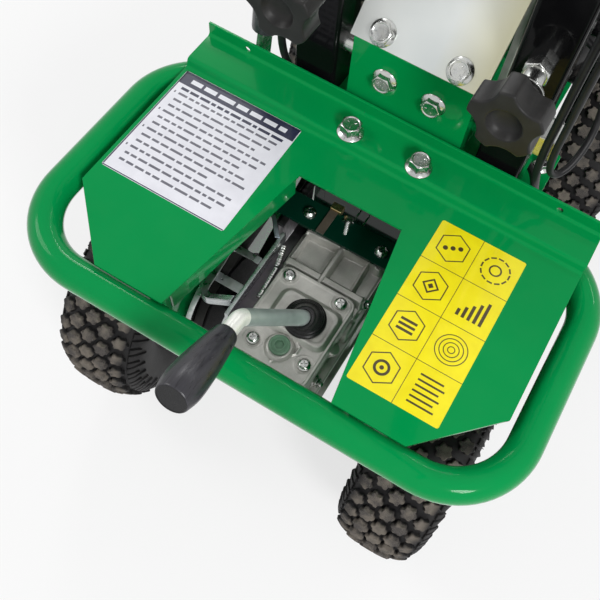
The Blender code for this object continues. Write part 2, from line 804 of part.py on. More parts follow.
def make_gearbox_bracket():
    inner = frame_half - frame_gauge - gap
    low = gear_top - 0.002
    strap = solid(sheet("gearbox_bracket", rounded([(-inner, 0.011), (inner, 0.011), (inner, 0.042), (-inner, 0.042)], 0.002, 2),
                        low, low + 0.004, "Z", "green_paint"))
    tools = []
    for side in (-1, 1):
        tools.append(block("end", (min(side * inner, side * (inner - 0.004)), 0.011, low - 0.022),
                           (max(side * inner, side * (inner - 0.004)), 0.042, low + 0.002), "green_paint"))
        x = side * 0.0415
        tools.append(block("pad", (x - 0.008, 0.015, 0.2550), (x + 0.008, 0.038, low + 0.001), "green_paint"))
    tools += cover_screws([(side * 0.0415, 0.026, low + 0.004) for side in (-1, 1)])
    join(strap, *tools)


def make_belt_keeper():
    face = -0.0495
    outline = rounded([(-0.110, 0.150), (-0.006, 0.150), (-0.006, 0.262), (-0.030, 0.2665), (-0.110, 0.262)],
                      [0.01, 0.01, 0.004, 0.004, 0.004])
    plate = solid(sheet("belt_keeper", outline, face - 0.004, face, "X", "zinc",
                        [circle(input_y, input_z, 0.0165, 14)]))
    reach = drive_belt_x - pulley_width / 2 - 0.003
    r_out = input_pulley_radius + belt_depth + 0.009
    hoop_outer = [(input_y + r_out * math.cos(a), input_z + r_out * math.sin(a)) for a in
                  [math.radians(96 + 10 * i) for i in range(9)]]
    r_in = r_out - 0.003
    hoop_inner = [(input_y + r_in * math.cos(a), input_z + r_in * math.sin(a)) for a in
                  [math.radians(176 - 10 * i) for i in range(9)]]
    hoop = sheet("hoop", hoop_outer + hoop_inner, reach, face - 0.001, "X", "zinc")
    spacers = [cylinder("spacer", 0.006, (face - 0.001, y, z), (gear_x - gear_half + inward - gap, y, z), "zinc")
               for y, z, inward in ((-0.100, 0.240, 0.002), (-0.100, 0.166, 0.002), (-0.020, 0.240, -0.004))]
    join(plate, hoop, *spacers)


# Shift lever

lever_points = [(boot_x, boot_y, gear_top + 0.008), (boot_x, boot_y, 0.3060), (-0.014, -0.140, 0.3430),
                (-0.010, -0.240, 0.3860)]


def make_shift_lever():
    base = Vector(lever_points[2])
    tip = Vector(lever_points[3])
    along = (tip - base).normalized()
    start = base + along * 0.020
    route = bent([lever_points[0], lever_points[1], lever_points[2], start + along * 0.024], 0.014, 4)
    rod = solid(pipe("shift_lever", route, lever_radius, "zinc", 2))
    sleeve = cylinder("sleeve", 0.0085, base + along * 0.006, start + along * 0.024, "zinc", 12)
    join(rod, sleeve)
    length = (tip - start).length
    hole = bore(0.0085, 14)
    profile = [(0, length), (0.0125, length), (0.0142, length - 0.003), (0.0145, length * 0.80), (0.0136, length * 0.45),
               (0.0112, length * 0.10), (0.0104, 0), (hole, 0), (hole, 0.025), (0, 0.025)]
    turned("shift_grip", profile, start, along, "grip_plastic", 14)


# Power train

def groove_profile(radius, width):
    half = width / 2
    deep = radius
    lip = radius + belt_depth + 0.002
    return [(lip, half), (lip, half * 0.80), (deep, half * 0.64), (deep, -half * 0.64), (lip, -half * 0.80), (lip, -half)]


def make_drive_train():
    shaft_end = gear_x - gear_half + 0.003
    pulley = turned("gearbox_pulley", [(0, pulley_width / 2 + 0.004), (0.014, pulley_width / 2 + 0.004),
                                       (0.014, pulley_width / 2)] + groove_profile(input_pulley_radius, pulley_width)
                    + [(0, -pulley_width / 2)], (drive_belt_x, input_y, input_z), (1, 0, 0), "steel", 16)
    join(solid(pulley), cylinder("input_shaft", 0.010, (drive_belt_x, input_y, input_z),
                                 (shaft_end, input_y, input_z), "steel"))
    engine_face = block_left - gap
    middle = (drive_belt_x + blade_belt_x) / 2
    low_groove = [(r, h + blade_belt_x - middle) for r, h in groove_profile(engine_pulley_radius, pulley_width)]
    far_groove = [(r, h + drive_belt_x - middle) for r, h in groove_profile(engine_pulley_radius, pulley_width)]
    top = blade_belt_x - middle + pulley_width / 2
    profile = [(0, top + 0.003), (0.016, top + 0.003), (0.016, top)] + low_groove + far_groove
    profile += [(0, drive_belt_x - middle - pulley_width / 2)]
    drum = solid(turned("engine_pulley", profile, (middle, crank_y, crank_z), (1, 0, 0), "steel", 16))
    join(drum, cylinder("stub", 0.0095, (middle, crank_y, crank_z), (engine_face + 0.018, crank_y, crank_z), "steel"))
    cam = solid(turned("cam_shaft", [(0, pulley_width / 2 + 0.006), (0.018, pulley_width / 2 + 0.006),
                                     (0.018, pulley_width / 2)] + groove_profile(cam_pulley_radius, pulley_width)
                       + [(0, -pulley_width / 2)], (blade_belt_x, cam_y, cam_z), (1, 0, 0), "steel", 16))
    shaft = cylinder("shaft", axle_radius, (-cam_disc_x, cam_y, cam_z), (cam_disc_x, cam_y, cam_z), "steel", 14)
    discs = []
    for side in (-1, 1):
        discs.append(cylinder("disc", cam_disc_radius, (side * (cam_disc_x - cam_disc_gauge / 2), cam_y, cam_z),
                              (side * (cam_disc_x + cam_disc_gauge / 2), cam_y, cam_z), "steel", 16))
    join(cam, shaft, *discs)


drive_wheels = [(input_y, input_z, input_pulley_radius, 1), (crank_y, crank_z, engine_pulley_radius, 1),
                (drive_idler_y, drive_idler_z, idler_radius + belt_depth + belt_slack, -1)]
blade_wheels = [(cam_y, cam_z, cam_pulley_radius, 1), (blade_idler_y, blade_idler_z, idler_radius + belt_depth + belt_slack, -1),
                (crank_y, crank_z, engine_pulley_radius, 1)]


def make_belts():
    belt("drive_belt", drive_wheels, drive_belt_x)
    belt("blade_belt", blade_wheels, blade_belt_x)


def make_idler(name, x, y, z, pivot, post_side):
    """A flat idler pulley on an arm that turns on a pin carried by the side plate."""
    py, pz = pivot
    inner = x - 0.007 - 0.0045
    arm_low = inner
    arm_high = inner + 0.004
    heading = math.atan2(z - pz, y - py)
    side = Vector((-math.sin(heading), math.cos(heading))) * 0.009
    start = Vector((py, pz))
    stop = Vector((y, z))
    outline = rounded([tuple(start + side * 1.2 - (stop - start).normalized() * 0.012),
                       tuple(start - side * 1.2 - (stop - start).normalized() * 0.012),
                       tuple(stop - side + (stop - start).normalized() * 0.010),
                       tuple(stop + side + (stop - start).normalized() * 0.010)], 0.008, 3)
    arm = solid(sheet(name, outline, arm_low, arm_high, "X", "zinc"))
    wheel = cylinder("wheel", idler_radius, (arm_high + 0.0005, y, z), (x + 0.007, y, z), "zinc", 16)
    boss = cylinder("boss", 0.008, (arm_low + 0.001, y, z), (arm_high + 0.002, y, z), "zinc", 12)
    pin = cylinder("pin", 0.007, (post_side, py, pz), (arm_high + 0.003, py, pz), "zinc", 12)
    join(arm, boss, wheel, pin)


def swung(y, z, pivot, degrees):
    """The point (y, z) turned about a pivot that runs along X."""
    turn = math.radians(degrees)
    across = y - pivot[0]
    up = z - pivot[1]
    return (pivot[0] + across * math.cos(turn) - up * math.sin(turn),
            pivot[1] + across * math.sin(turn) + up * math.cos(turn))


def make_idlers():
    wall = -(frame_half - frame_gauge - gap)
    drive_at = swung(drive_idler_y, drive_idler_z, drive_idler_pivot, drive_idler_release)
    blade_at = swung(blade_idler_y, blade_idler_z, blade_idler_pivot, blade_idler_release)
    make_idler("drive_idler", drive_belt_x, *drive_at, drive_idler_pivot, wall)
    make_idler("blade_idler", blade_belt_x, *blade_at, blade_idler_pivot, wall)


def sprocket_outline(teeth):
    """Teeth that end just inside the chain, so that the solid chain band stays clear of them."""
    tip = pitch_radius(teeth) - chain_plate * chain_bed - gap
    root = tip - 0.0045
    step = 2 * math.pi / teeth
    points = []
    for i in range(teeth):
        points.append((root * math.cos(i * step), root * math.sin(i * step)))
        points.append((tip * math.cos((i + 0.5) * step), tip * math.sin((i + 0.5) * step)))
    return points


def sprocket(name, teeth, y, z, material_name):
    outline = [(y + a, z + b) for a, b in sprocket_outline(teeth)]
    return solid(sheet(name, outline, chain_x - 0.0012, chain_x + 0.0012, "X", material_name))


def make_chain_drive():
    wheel = sprocket("output_sprocket", output_teeth, output_y, output_z, "steel")
    right = gear_x + gear_half
    join(wheel, cylinder("output_shaft", 0.010, (right - 0.002, output_y, output_z), (chain_x + 0.006, output_y, output_z),
                         "steel"))
    loop = belt_loop([(output_y, output_z, pitch_radius(output_teeth), 1),
                      (front_axle_y, wheel_radius, pitch_radius(axle_teeth), 1)], 0, math.radians(10))
    pins = walk(loop, chain_pitch)
    outer = chain_side(pins, chain_plate, chain_plate * 0.72)
    inner = belt_loop([(output_y, output_z, pitch_radius(output_teeth), 1),
                       (front_axle_y, wheel_radius, pitch_radius(axle_teeth), 1)], -chain_plate * chain_bed)
    sheet("drive_chain", outer, chain_x - chain_width / 2, chain_x + chain_width / 2, "X", "steel", [inner])


# Wheels

def tyre_section():
    """Half-open outline of the tyre from bead to bead as (across, radius) points."""
    half = tyre_width / 2
    crown = (wheel_radius - tread_depth) / math.cos(math.pi / tread_steps)
    side = [(bead_half, bore(rim_radius, tread_steps)), (half, wheel_radius * 0.64), (half * 0.97, crown - 0.018),
            (half * 0.76, crown - 0.004)]
    return [(-x, r) for x, r in side] + [(-half * 0.30, crown), (half * 0.30, crown)] + side[::-1]


def make_tyre(name, x, y):
    section = tyre_section()
    count = len(section)
    first_tread = 2
    last_tread = count - 4
    bm = bmesh.new()
    rings = []
    for k in range(tread_steps):
        angle = 2 * math.pi * k / tread_steps
        rings.append([bm.verts.new((across, radius * math.cos(angle), radius * math.sin(angle)))
                      for across, radius in section])
    blocks = []
    for k in range(tread_steps):
        here = rings[k]
        ahead = rings[(k + 1) % tread_steps]
        for i in range(count):
            j = (i + 1) % count
            face = bm.faces.new((here[i], here[j], ahead[j], ahead[i]))
            if first_tread <= i <= last_tread and (k + i) % 2 == 0:
                blocks.append(face)
    bmesh.ops.recalc_face_normals(bm, faces=bm.faces)
    bmesh.ops.inset_individual(bm, faces=blocks, thickness=0.0022, depth=tread_depth)
    bmesh.ops.translate(bm, vec=(x, y, wheel_radius), verts=bm.verts)
    mesh_object(name, bm, "tyre_rubber", smooth=True)


def make_rim(name, x, y, hole, side):
    half = bead_half
    profile = [(hole, rim_reach), (hub_radius, rim_reach), (hub_radius, 0.009), (rim_radius - 0.010, 0.009),
               (rim_radius, half), (rim_radius, -half), (rim_radius - 0.010, 0.003), (hub_radius, 0.003),
               (hub_radius, -rim_reach), (hole, -rim_reach)]
    turned(name, profile, (x, y, wheel_radius), (side, 0, 0), "rim_paint", rim_steps)


def make_wheels():
    reach = tyre_width / 2
    for side, word in ((-1, "left"), (1, "right")):
        make_tyre("front_tyre_" + word, side * front_track_half, front_axle_y)
        make_rim("front_rim_" + word, side * front_track_half, front_axle_y, bore(axle_radius, rim_steps), side)
        make_tyre("rear_tyre_" + word, side * rear_track_half, rear_axle_y)
        make_rim("rear_rim_" + word, side * rear_track_half, rear_axle_y, bore(pivot_radius, rim_steps), side)
    axle = cylinder("front_axle", axle_radius, (-front_track_half - reach, front_axle_y, wheel_radius),
                    (front_track_half + reach, front_axle_y, wheel_radius), "steel")
    hub = cylinder("hub", 0.022, (chain_x - 0.020, front_axle_y, wheel_radius), (chain_x + 0.001, front_axle_y, wheel_radius),
                   "steel")
    tools = [sprocket("axle_sprocket", axle_teeth, front_axle_y, wheel_radius, "steel"), hub]
    for side in (-1, 1):
        cap = side * (front_track_half + rim_reach + gap)
        tools.append(cylinder("wheel_nut", 0.018, (cap, front_axle_y, wheel_radius),
                              (cap + side * 0.009, front_axle_y, wheel_radius), "steel", 6))
        collar = side * (front_track_half - rim_reach - gap)
        tools.append(cylinder("collar", 0.017, (collar, front_axle_y, wheel_radius),
                              (side * (frame_half + 0.014), front_axle_y, wheel_radius), "steel", 12))
    join(axle, *tools)


# Depth carriage

def make_carriage():
    reach = depth_lever_x + 0.004
    shaft = cylinder("depth_carriage", pivot_radius, (-reach - 0.004, pivot_y, pivot_z),
                     (arm_x + arm_gauge / 2 + 0.004, pivot_y, pivot_z), "black_paint", 14)
    tools = []
    for side in (-1, 1):
        low = side * (arm_x - arm_gauge / 2)
        high = side * (arm_x + arm_gauge / 2)
        outline = rounded([(pivot_y + 0.018, pivot_z + 0.017), (pivot_y + 0.018, pivot_z - 0.017),
                           (rear_axle_y - 0.018, wheel_radius - 0.016), (rear_axle_y - 0.018, wheel_radius + 0.016)], 0.012)
        tools.append(sheet("arm", outline, min(low, high), max(low, high), "X", "black_paint"))
        cap = side * (rear_track_half + rim_reach + gap)
        tools.append(cylinder("stub", pivot_radius, (side * arm_x, rear_axle_y, wheel_radius),
                              (cap + side * 0.004, rear_axle_y, wheel_radius), "black_paint", 14))
        seat = side * (rear_track_half - rim_reach - gap)
        tools.append(cylinder("seat", 0.015, (side * arm_x, rear_axle_y, wheel_radius), (seat, rear_axle_y, wheel_radius),
                              "black_paint", 12))
        tools.append(cylinder("axle_nut", 0.016, (cap, rear_axle_y, wheel_radius),
                              (cap + side * 0.009, rear_axle_y, wheel_radius), "black_paint", 6))
    join(shaft, *tools)
    lean = depth_lever_lean
    top_y = pivot_y + (depth_lever_top - pivot_z) * lean
    bar = rounded([(pivot_y - 0.016, pivot_z - 0.016), (pivot_y + 0.016, pivot_z - 0.016), (top_y + 0.008, depth_lever_top),
                   (top_y - 0.008, depth_lever_top)], [0.012, 0.012, 0.002, 0.002])
    lever = solid(sheet("depth_lever", bar, -depth_lever_x - 0.004, -depth_lever_x + 0.004, "X", "zinc"))
    cut(lever, cylinder("bore", bore(pivot_radius), (-depth_lever_x - 0.02, pivot_y, pivot_z),
                        (-depth_lever_x + 0.02, pivot_y, pivot_z), "zinc", 14))
    base = Vector((-depth_lever_x, top_y - 0.030 * lean, depth_lever_top - 0.030))
    tip = base + Vector((0, lean, 1)).normalized() * 0.110
    along = (tip - base).normalized()
    grip = solid(turned("depth_grip", [(0, 0.11), (0.013, 0.11), (0.016, 0.106), (0.016, 0.080), (0.0150, 0.030), (0.0140, 0),
                                       (0, 0)], base, along, "grip_plastic", 14))
    pocket = block("pocket", (-depth_lever_x - 0.004 - gap, -0.0098, -0.010), (-depth_lever_x + 0.004 + gap, 0.0098, 0.0340),
                   "grip_plastic")
    pocket.matrix_world = Matrix.Translation((0, base.y, base.z)) @ Matrix.Rotation(-math.atan(lean), 4, "X")
    cut(grip, pocket)


# Blade and linkage

def make_blade():
    half = blade_half
    high = 0.105
    outline = rounded([(-half, high), (-half, blade_low), (half, blade_low), (half, high)], [0, 0.012, 0.012, 0], 3)
    inner = rounded([(half - blade_gauge, high), (half - blade_gauge, blade_low + blade_gauge),
                     (-half + blade_gauge, blade_low + blade_gauge), (-half + blade_gauge, high)], [0, 0.006, 0.006, 0], 3)
    centre = rocker_y
    blade = solid(sheet("blade", outline + inner, centre - blade_width / 2, centre + blade_width / 2, "Y", "steel"))
    front = centre + blade_width / 2
    wedge = sheet("bevel", [(front - 0.012, blade_low + blade_gauge + 0.0001), (front + 0.002, blade_low + 0.001),
                            (front + 0.002, blade_low + 0.020)], -half + 0.012, half - 0.012, "X", "steel")
    cut(blade, wedge)
    for side in (-1, 1):
        face = sorted((side * (blade_arm_x - blade_arm_gauge / 2), side * (blade_arm_x + blade_arm_gauge / 2)))
        outline = rounded([(rocker_y - 0.022, blade_low + blade_gauge - 0.001), (rocker_y + 0.022, blade_low + blade_gauge - 0.001),
                           (rocker_y + 0.016, rocker_z + 0.016), (rocker_y - 0.016, rocker_z + 0.016)],
                          [0, 0, 0.014, 0.014], 3)
        arm = solid(sheet("arm", outline, face[0], face[1], "X", "steel",
                          [circle(rocker_y, rocker_z, bore(rocker_radius)), circle(rocker_y, rod_pin_z, bore(rod_pin_radius))]))
        join(blade, arm)


def make_rods():
    for side, word in ((-1, "left"), (1, "right")):
        disc_face = cam_disc_x + cam_disc_gauge / 2
        low = disc_face + 0.0012
        high = blade_arm_x - blade_arm_gauge / 2 - gap
        pin_y = cam_y
        pin_z = cam_z + cam_throw
        start = Vector((pin_y, pin_z))
        stop = Vector((rocker_y, rod_pin_z))
        along = (stop - start).normalized()
        across = Vector((-along.y, along.x))
        eye = 0.014
        outline = []
        for centre, heading in ((start, math.atan2(-along.y, -along.x)), (stop, math.atan2(along.y, along.x))):
            for i in range(7):
                a = heading - math.radians(75) + math.radians(25) * i
                outline.append((centre.x + eye * math.cos(a), centre.y + eye * math.sin(a)))
        waist = [tuple(start + along * 0.035 + across * 0.007), tuple(start + along * 0.035 - across * 0.007)]
        outline = outline[:7] + [waist[1] if (Vector(outline[6]) - Vector(waist[1])).length <
                                 (Vector(outline[6]) - Vector(waist[0])).length else waist[0]] + outline[7:] + \
            [waist[0] if (Vector(outline[13]) - Vector(waist[0])).length <
             (Vector(outline[13]) - Vector(waist[1])).length else waist[1]]
        rod = solid(sheet("con_rod_" + word, outline, min(side * low, side * high), max(side * low, side * high), "X", "steel"))
        big = cylinder("crank_pin", 0.008, (side * (disc_face + gap), pin_y, pin_z), (side * (low + 0.002), pin_y, pin_z),
                       "steel", 12)
        small = cylinder("arm_pin", rod_pin_radius, (side * (low + 0.001), rocker_y, rod_pin_z),
                         (side * (blade_arm_x + blade_arm_gauge / 2 + 0.003), rocker_y, rod_pin_z), "steel", 12)
        join(rod, big, small)


# Engine

def make_engine():
    base = deck_top + gap
    block_object = block("engine_block", (block_left, engine_rear_y, base), (block_right, 0.452, base + 0.196),
                         "cast_aluminium", 0.012)
    foot = block("foot", (block_left - 0.004, engine_rear_y - 0.006, base), (block_right + 0.004, 0.458, base + 0.014),
                 "cast_aluminium")
    face = cylinder("pto_face", 0.050, (block_left + 0.01, crank_y, crank_z), (block_left - 0.004, crank_y, crank_z),
                    "cast_aluminium", 16)
    tools = [foot, face]
    tilt = math.radians(25)
    along = Vector((0, math.cos(tilt), math.sin(tilt)))
    root = Vector((0.015, 0.430, crank_z + 0.020))
    tools.append(cylinder("barrel", 0.034, root, root + along * 0.100, "cast_aluminium", 12))
    for i in range(4):
        middle = root + along * (0.030 + 0.015 * i)
        fin = block("fin", (-0.050, -0.002, -0.052), (0.050, 0.002, 0.052), "cast_aluminium")
        fin.matrix_world = Matrix.Translation(middle) @ Matrix.Rotation(tilt, 4, "X")
        tools.append(solid(fin))
    head = block("head", (-0.042, 0, -0.044), (0.042, 0.020, 0.044), "cast_aluminium", 0.004)
    head.matrix_world = Matrix.Translation(root + along * 0.086) @ Matrix.Rotation(tilt, 4, "X")
    tools.append(solid(head))
    join(block_object, *tools)
    cut(block_object, cylinder("crank_bore", bore(0.0095), (block_left - 0.02, crank_y, crank_z),
                               (block_left + 0.02, crank_y, crank_z), "cast_aluminium"))
    start = block_right + gap
    fan = turned("fan_housing", [(0, fan_depth), (fan_radius - 0.030, fan_depth), (fan_radius - 0.010, fan_depth - 0.008),
                                 (fan_radius, fan_depth - 0.028), (fan_radius, 0), (0, 0)],
                 (start, crank_y, crank_z + 0.030), (1, 0, 0), "black_paint", 20)
    cut(solid(fan), block("under", (0, 0.2, 0.1), (0.3, 0.6, base + 0.002), "black_paint"))
    outer = start + fan_depth + gap
    recoil = solid(turned("recoil_cover", [(0, recoil_depth), (0.040, recoil_depth), (0.072, recoil_depth - 0.010),
                                           (0.082, recoil_depth - 0.022), (0.082, 0), (0, 0)],
                          (outer, crank_y, crank_z + 0.030), (1, 0, 0), "black_plastic", 16))
    slots = []
    for i in range(8):
        a = 2 * math.pi * i / 8
        slot = block("slot", (0.046, -0.004, recoil_depth - 0.020), (0.068, 0.004, recoil_depth + 0.01), "black_plastic")
        slot.matrix_world = (Matrix.Translation((outer, crank_y, crank_z + 0.030)) @ turning((1, 0, 0))
                             @ Matrix.Rotation(a, 4, "Z"))
        slots.append(solid(slot))
    cut(recoil, *slots)
    hold_x = starter_x
    pull = block("starter_grip", (hold_x - 0.009, crank_y - 0.104, crank_z + 0.030), (hold_x + 0.009, crank_y - 0.0865, crank_z + 0.072),
                 "black_plastic", 0.005)
    cord = cylinder("cord", 0.0025, (hold_x, crank_y - 0.090, crank_z + 0.050), (hold_x, crank_y - 0.0808, crank_z + 0.043),
                    "black_plastic", 10)
    join(pull, cord)


def make_tank():
    low = deck_top + 0.196 + 2 * gap
    tank = block("fuel_tank", (block_left, engine_rear_y + 0.002, low), (0.176, 0.440, low + 0.098), "tank_paint", 0.022)
    clear = cylinder("fan_room", fan_radius + 0.002, (block_right - 0.001, crank_y, crank_z + 0.030),
                     (0.3, crank_y, crank_z + 0.030), "tank_paint", 20)
    neck = cylinder("neck", 0.024, (cap_x, cap_y, low + 0.09), (cap_x, cap_y, low + 0.104), "tank_paint", 14)
    cut(join(tank, neck), clear)
    cap_low = low + 0.104 + gap
    cap_outline = []
    for i in range(16):
        a = 2 * math.pi * i / 16
        r = 0.030 if i % 2 else 0.0275
        cap_outline.append((cap_x + r * math.cos(a), cap_y + r * math.sin(a)))
    cap = solid(sheet("fuel_cap", cap_outline, cap_low, cap_low + 0.014, "Z", "black_plastic"))
    join(cap, cylinder("cap_top", 0.022, (cap_x, cap_y, cap_low + 0.010), (cap_x, cap_y, cap_low + 0.018),
                       "black_plastic", 14))


def make_engine_dress():
    low = crank_z + 0.104
    head_top = 0.4794
    filter_box = block("air_filter", (0.078, 0.4475, low + 0.018), (0.172, 0.560, low + 0.104), "black_plastic", 0.012)
    elbow = block("elbow", (0.0656, 0.484, low - 0.040), (0.110, 0.514, low + 0.030), "black_plastic", 0.004)
    join(filter_box, elbow)
    can = cylinder("muffler", 0.042, (-0.120, 0.500, low + 0.060), (0.054, 0.500, low + 0.060), "steel", 16)
    outlet = cylinder("outlet", 0.012, (-0.100, 0.500, low + 0.060), (-0.100, 0.560, low + 0.060), "steel", 14)
    neck = block("neck", (-0.020, 0.484, head_top), (0.030, 0.520, low + 0.030), "steel")
    cut(join(can, outlet, neck), cylinder("outlet_bore", 0.009, (-0.100, 0.530, low + 0.060), (-0.100, 0.58, low + 0.060),
                                          "steel", 14))


def make_belt_guard():
    """A sheet cover over the engine pulley, open towards the belts below."""
    left = drive_belt_x - pulley_width / 2 - 0.016
    right = blade_belt_x + pulley_width / 2 + 0.002
    low = deck_top + gap
    radius = engine_pulley_radius + belt_depth + 0.016
    arc = [(crank_y + radius * math.cos(a), crank_z + radius * math.sin(a)) for a in
           [math.radians(-20 + 15 * i) for i in range(12)]]
    outline = arc + [(0.2450, 0.3950), (0.2450, low), (crank_y + radius, low)]
    shell = solid(sheet("belt_guard", outline, left, right, "X", "green_paint"))
    wall = 0.003
    inner_radius = radius - wall
    arc_in = [(crank_y + inner_radius * math.cos(a), crank_z + inner_radius * math.sin(a)) for a in
              [math.radians(-20 + 15 * i) for i in range(12)]]
    hollow = arc_in + [(0.2410, 0.3900), (0.2410, low - 0.01), (crank_y + inner_radius, low - 0.01)]
    cut(shell, sheet("hollow", hollow, left + wall, right + 0.01, "X", "green_paint"))
    mouth = block("mouth", (left + wall, 0.20, low - 0.01), (right + 0.01, 0.26, 0.388), "green_paint")
    cut(shell, mouth)


# Controls

def bar_point(side, y):
    rise = (bar_end_z - bar_bend_z) / (bar_bend_y - bar_rear_y)
    return Vector((side * bar_spread, y, bar_end_z - rise * (y - bar_rear_y)))


def lever_pin(side):
    """Where a hand lever turns, above its clamp on the handlebar."""
    return bar_point(side, (lever_clamp_y + lever_clamp_end) / 2) + Vector((0, 0, 0.036))


def lever_mount(side):
    start = bar_point(side, lever_clamp_y)
    stop = bar_point(side, lever_clamp_end)
    pin = lever_pin(side)
    ring = cylinder("lever_ring", 0.020, start, stop, "black_paint", 14)
    lug = block("lug", (pin.x - 0.004, start.y + 0.001, pin.z - 0.024), (pin.x + 0.004, stop.y - 0.001, pin.z + 0.008),
                "black_paint")
    hole = cylinder("pin_hole", bore(0.003, 10), pin - Vector((0.02, 0, 0)), pin + Vector((0.02, 0, 0)), "black_paint", 10)
    return [ring, cut(lug, hole)]


def throttle_mount():
    start = bar_point(1, throttle_y - 0.010)
    stop = bar_point(1, throttle_y + 0.010)
    ring = cylinder("throttle_ring", 0.019, start, stop, "black_paint", 14)
    lug = block("lug", (start.x - throttle_reach, start.y + 0.0005, start.z + 0.013),
                (start.x - 0.001, stop.y - 0.0005, start.z + 0.033), "black_paint")
    return [ring, lug]


def make_hand_levers():
    for side, name in ((-1, "blade_lever"), (1, "drive_lever")):
        pin = lever_pin(side)
        route = bent([(0.012, -0.002), (-0.020, 0.012), (-0.060, 0.020), (-0.150, 0.016)], 0.02, 2)
        leaf = [(pin.y + y, pin.z + z + 0.004) for y, z in route]
        leaf += [(pin.y + y, pin.z + z - 0.004) for y, z in reversed(route)]
        left = solid(sheet(name, leaf, pin.x + 0.0045, pin.x + 0.0085, "X", "black_paint"))
        right = sheet("right_leaf", leaf, pin.x - 0.0085, pin.x - 0.0045, "X", "black_paint")
        pad = block("pad", (pin.x - 0.008, pin.y - 0.149, pin.z + 0.0125), (pin.x + 0.008, pin.y - 0.050, pin.z + 0.0185),
                    "black_paint")
        stud = cylinder("pin", 0.003, pin - Vector((0.010, 0, 0)), pin + Vector((0.010, 0, 0)), "black_paint", 10)
        join(left, right, pad, stud)


def make_throttle():
    middle = bar_point(1, throttle_y)
    face = middle.x - throttle_reach - gap
    disc = cylinder("throttle_lever", 0.009, (face - 0.004, middle.y, middle.z + 0.023),
                    (face, middle.y, middle.z + 0.023), "black_plastic", 14)
    arm = block("arm", (face - 0.0035, middle.y - 0.004, middle.z + 0.026), (face - 0.0005, middle.y + 0.004, middle.z + 0.056),
                "black_plastic")
    join(disc, arm)


cable_routes = {
    "drive": [(0.230, -0.4240, 0.950), (0.235, -0.385, 0.949), (0.246, -0.330, 0.930), (0.2515, -0.280, 0.906),
              (0.2268, -0.195, 0.8859), (0.1868, -0.060, 0.8659), (0.1685, 0.005, 0.8450), (0.148, 0.066, 0.790),
              (0.1385, 0.107, 0.735), (0.1360, 0.116, 0.640), (0.1340, 0.116, 0.520), (0.1345, 0.1155, 0.440),
              (0.1350, 0.1165, 0.400), (0.1375, 0.1195, 0.3680), (0.1420, 0.130, 0.336), (0.1430, 0.150, 0.306),
              (0.1290, 0.190, 0.2850), (0.0980, 0.218, 0.2762), (0.0500, 0.232, 0.2748), (0.0000, 0.234, 0.2745),
              (-0.0420, 0.234, 0.2745)],
    "blade": [(-0.230, -0.4240, 0.950), (-0.235, -0.385, 0.949), (-0.246, -0.330, 0.930), (-0.2515, -0.280, 0.906),
              (-0.2268, -0.195, 0.8859), (-0.1868, -0.060, 0.8659), (-0.1685, 0.005, 0.8450), (-0.148, 0.066, 0.790),
              (-0.1385, 0.107, 0.735), (-0.1360, 0.116, 0.640), (-0.1340, 0.116, 0.520), (-0.1345, 0.1155, 0.440),
              (-0.1355, 0.1165, 0.400), (-0.1355, 0.1195, 0.3680), (-0.1355, 0.130, 0.336), (-0.1345, 0.150, 0.306),
              (-0.1260, 0.190, 0.2810), (-0.1150, 0.225, 0.2745)],
}


def smooth_route(points, steps=4):
    """A Catmull-Rom curve through the route's own points."""
    route = [Vector(p) for p in points]
    ends = [route[0] * 2 - route[1]] + route + [route[-1] * 2 - route[-2]]
    made = []
    for i in range(1, len(ends) - 2):
        a, b, c, d = ends[i - 1:i + 3]
        for k in range(steps):
            t = k / steps
            made.append(0.5 * ((2 * b) + (c - a) * t + (2 * a - 5 * b + 4 * c - d) * t * t
                               + (3 * b - a - 3 * c + d) * t * t * t))
    made.append(route[-1])
    return [tuple(p) for p in made]


def make_cables():
    for word, points in cable_routes.items():
        pipe(word + "_cable", smooth_route(points, 2), 0.0040, "black_plastic", 1)


def make_clamp_knobs():
    back = post_y - post_width / 2 - clamp_stack - gap
    face = back - knob_depth
    lobes = 5
    swell = 0.0045
    for side, word in ((-1, "left"), (1, "right")):
        x = side * post_x
        outline = []
        for i in range(lobes * 6):
            a = 2 * math.pi * i / (lobes * 6)
            r = knob_radius - swell + swell * math.cos(lobes * a)
            outline.append((x + r * math.sin(a), clamp_z + r * math.cos(a)))
        head = solid(sheet("clamp_knob_" + word, outline, face, face + 0.028, "Y", "grip_plastic"))
        neck = cylinder("neck", 0.018, (x, face + 0.027, clamp_z), (x, back, clamp_z), "grip_plastic", 16, 0.014)
        stud = cylinder("stud", knob_stud_radius, (x, back - 0.002, clamp_z), (x, post_y - bar_radius - 0.004, clamp_z),
                        "grip_plastic", 12)
        dish = cylinder("dish", 0.014, (x, face - 0.001, clamp_z), (x, face + 0.004, clamp_z), "grip_plastic", 12)
        cut(join(head, neck, stud), dish)


# Origins on the joint axes

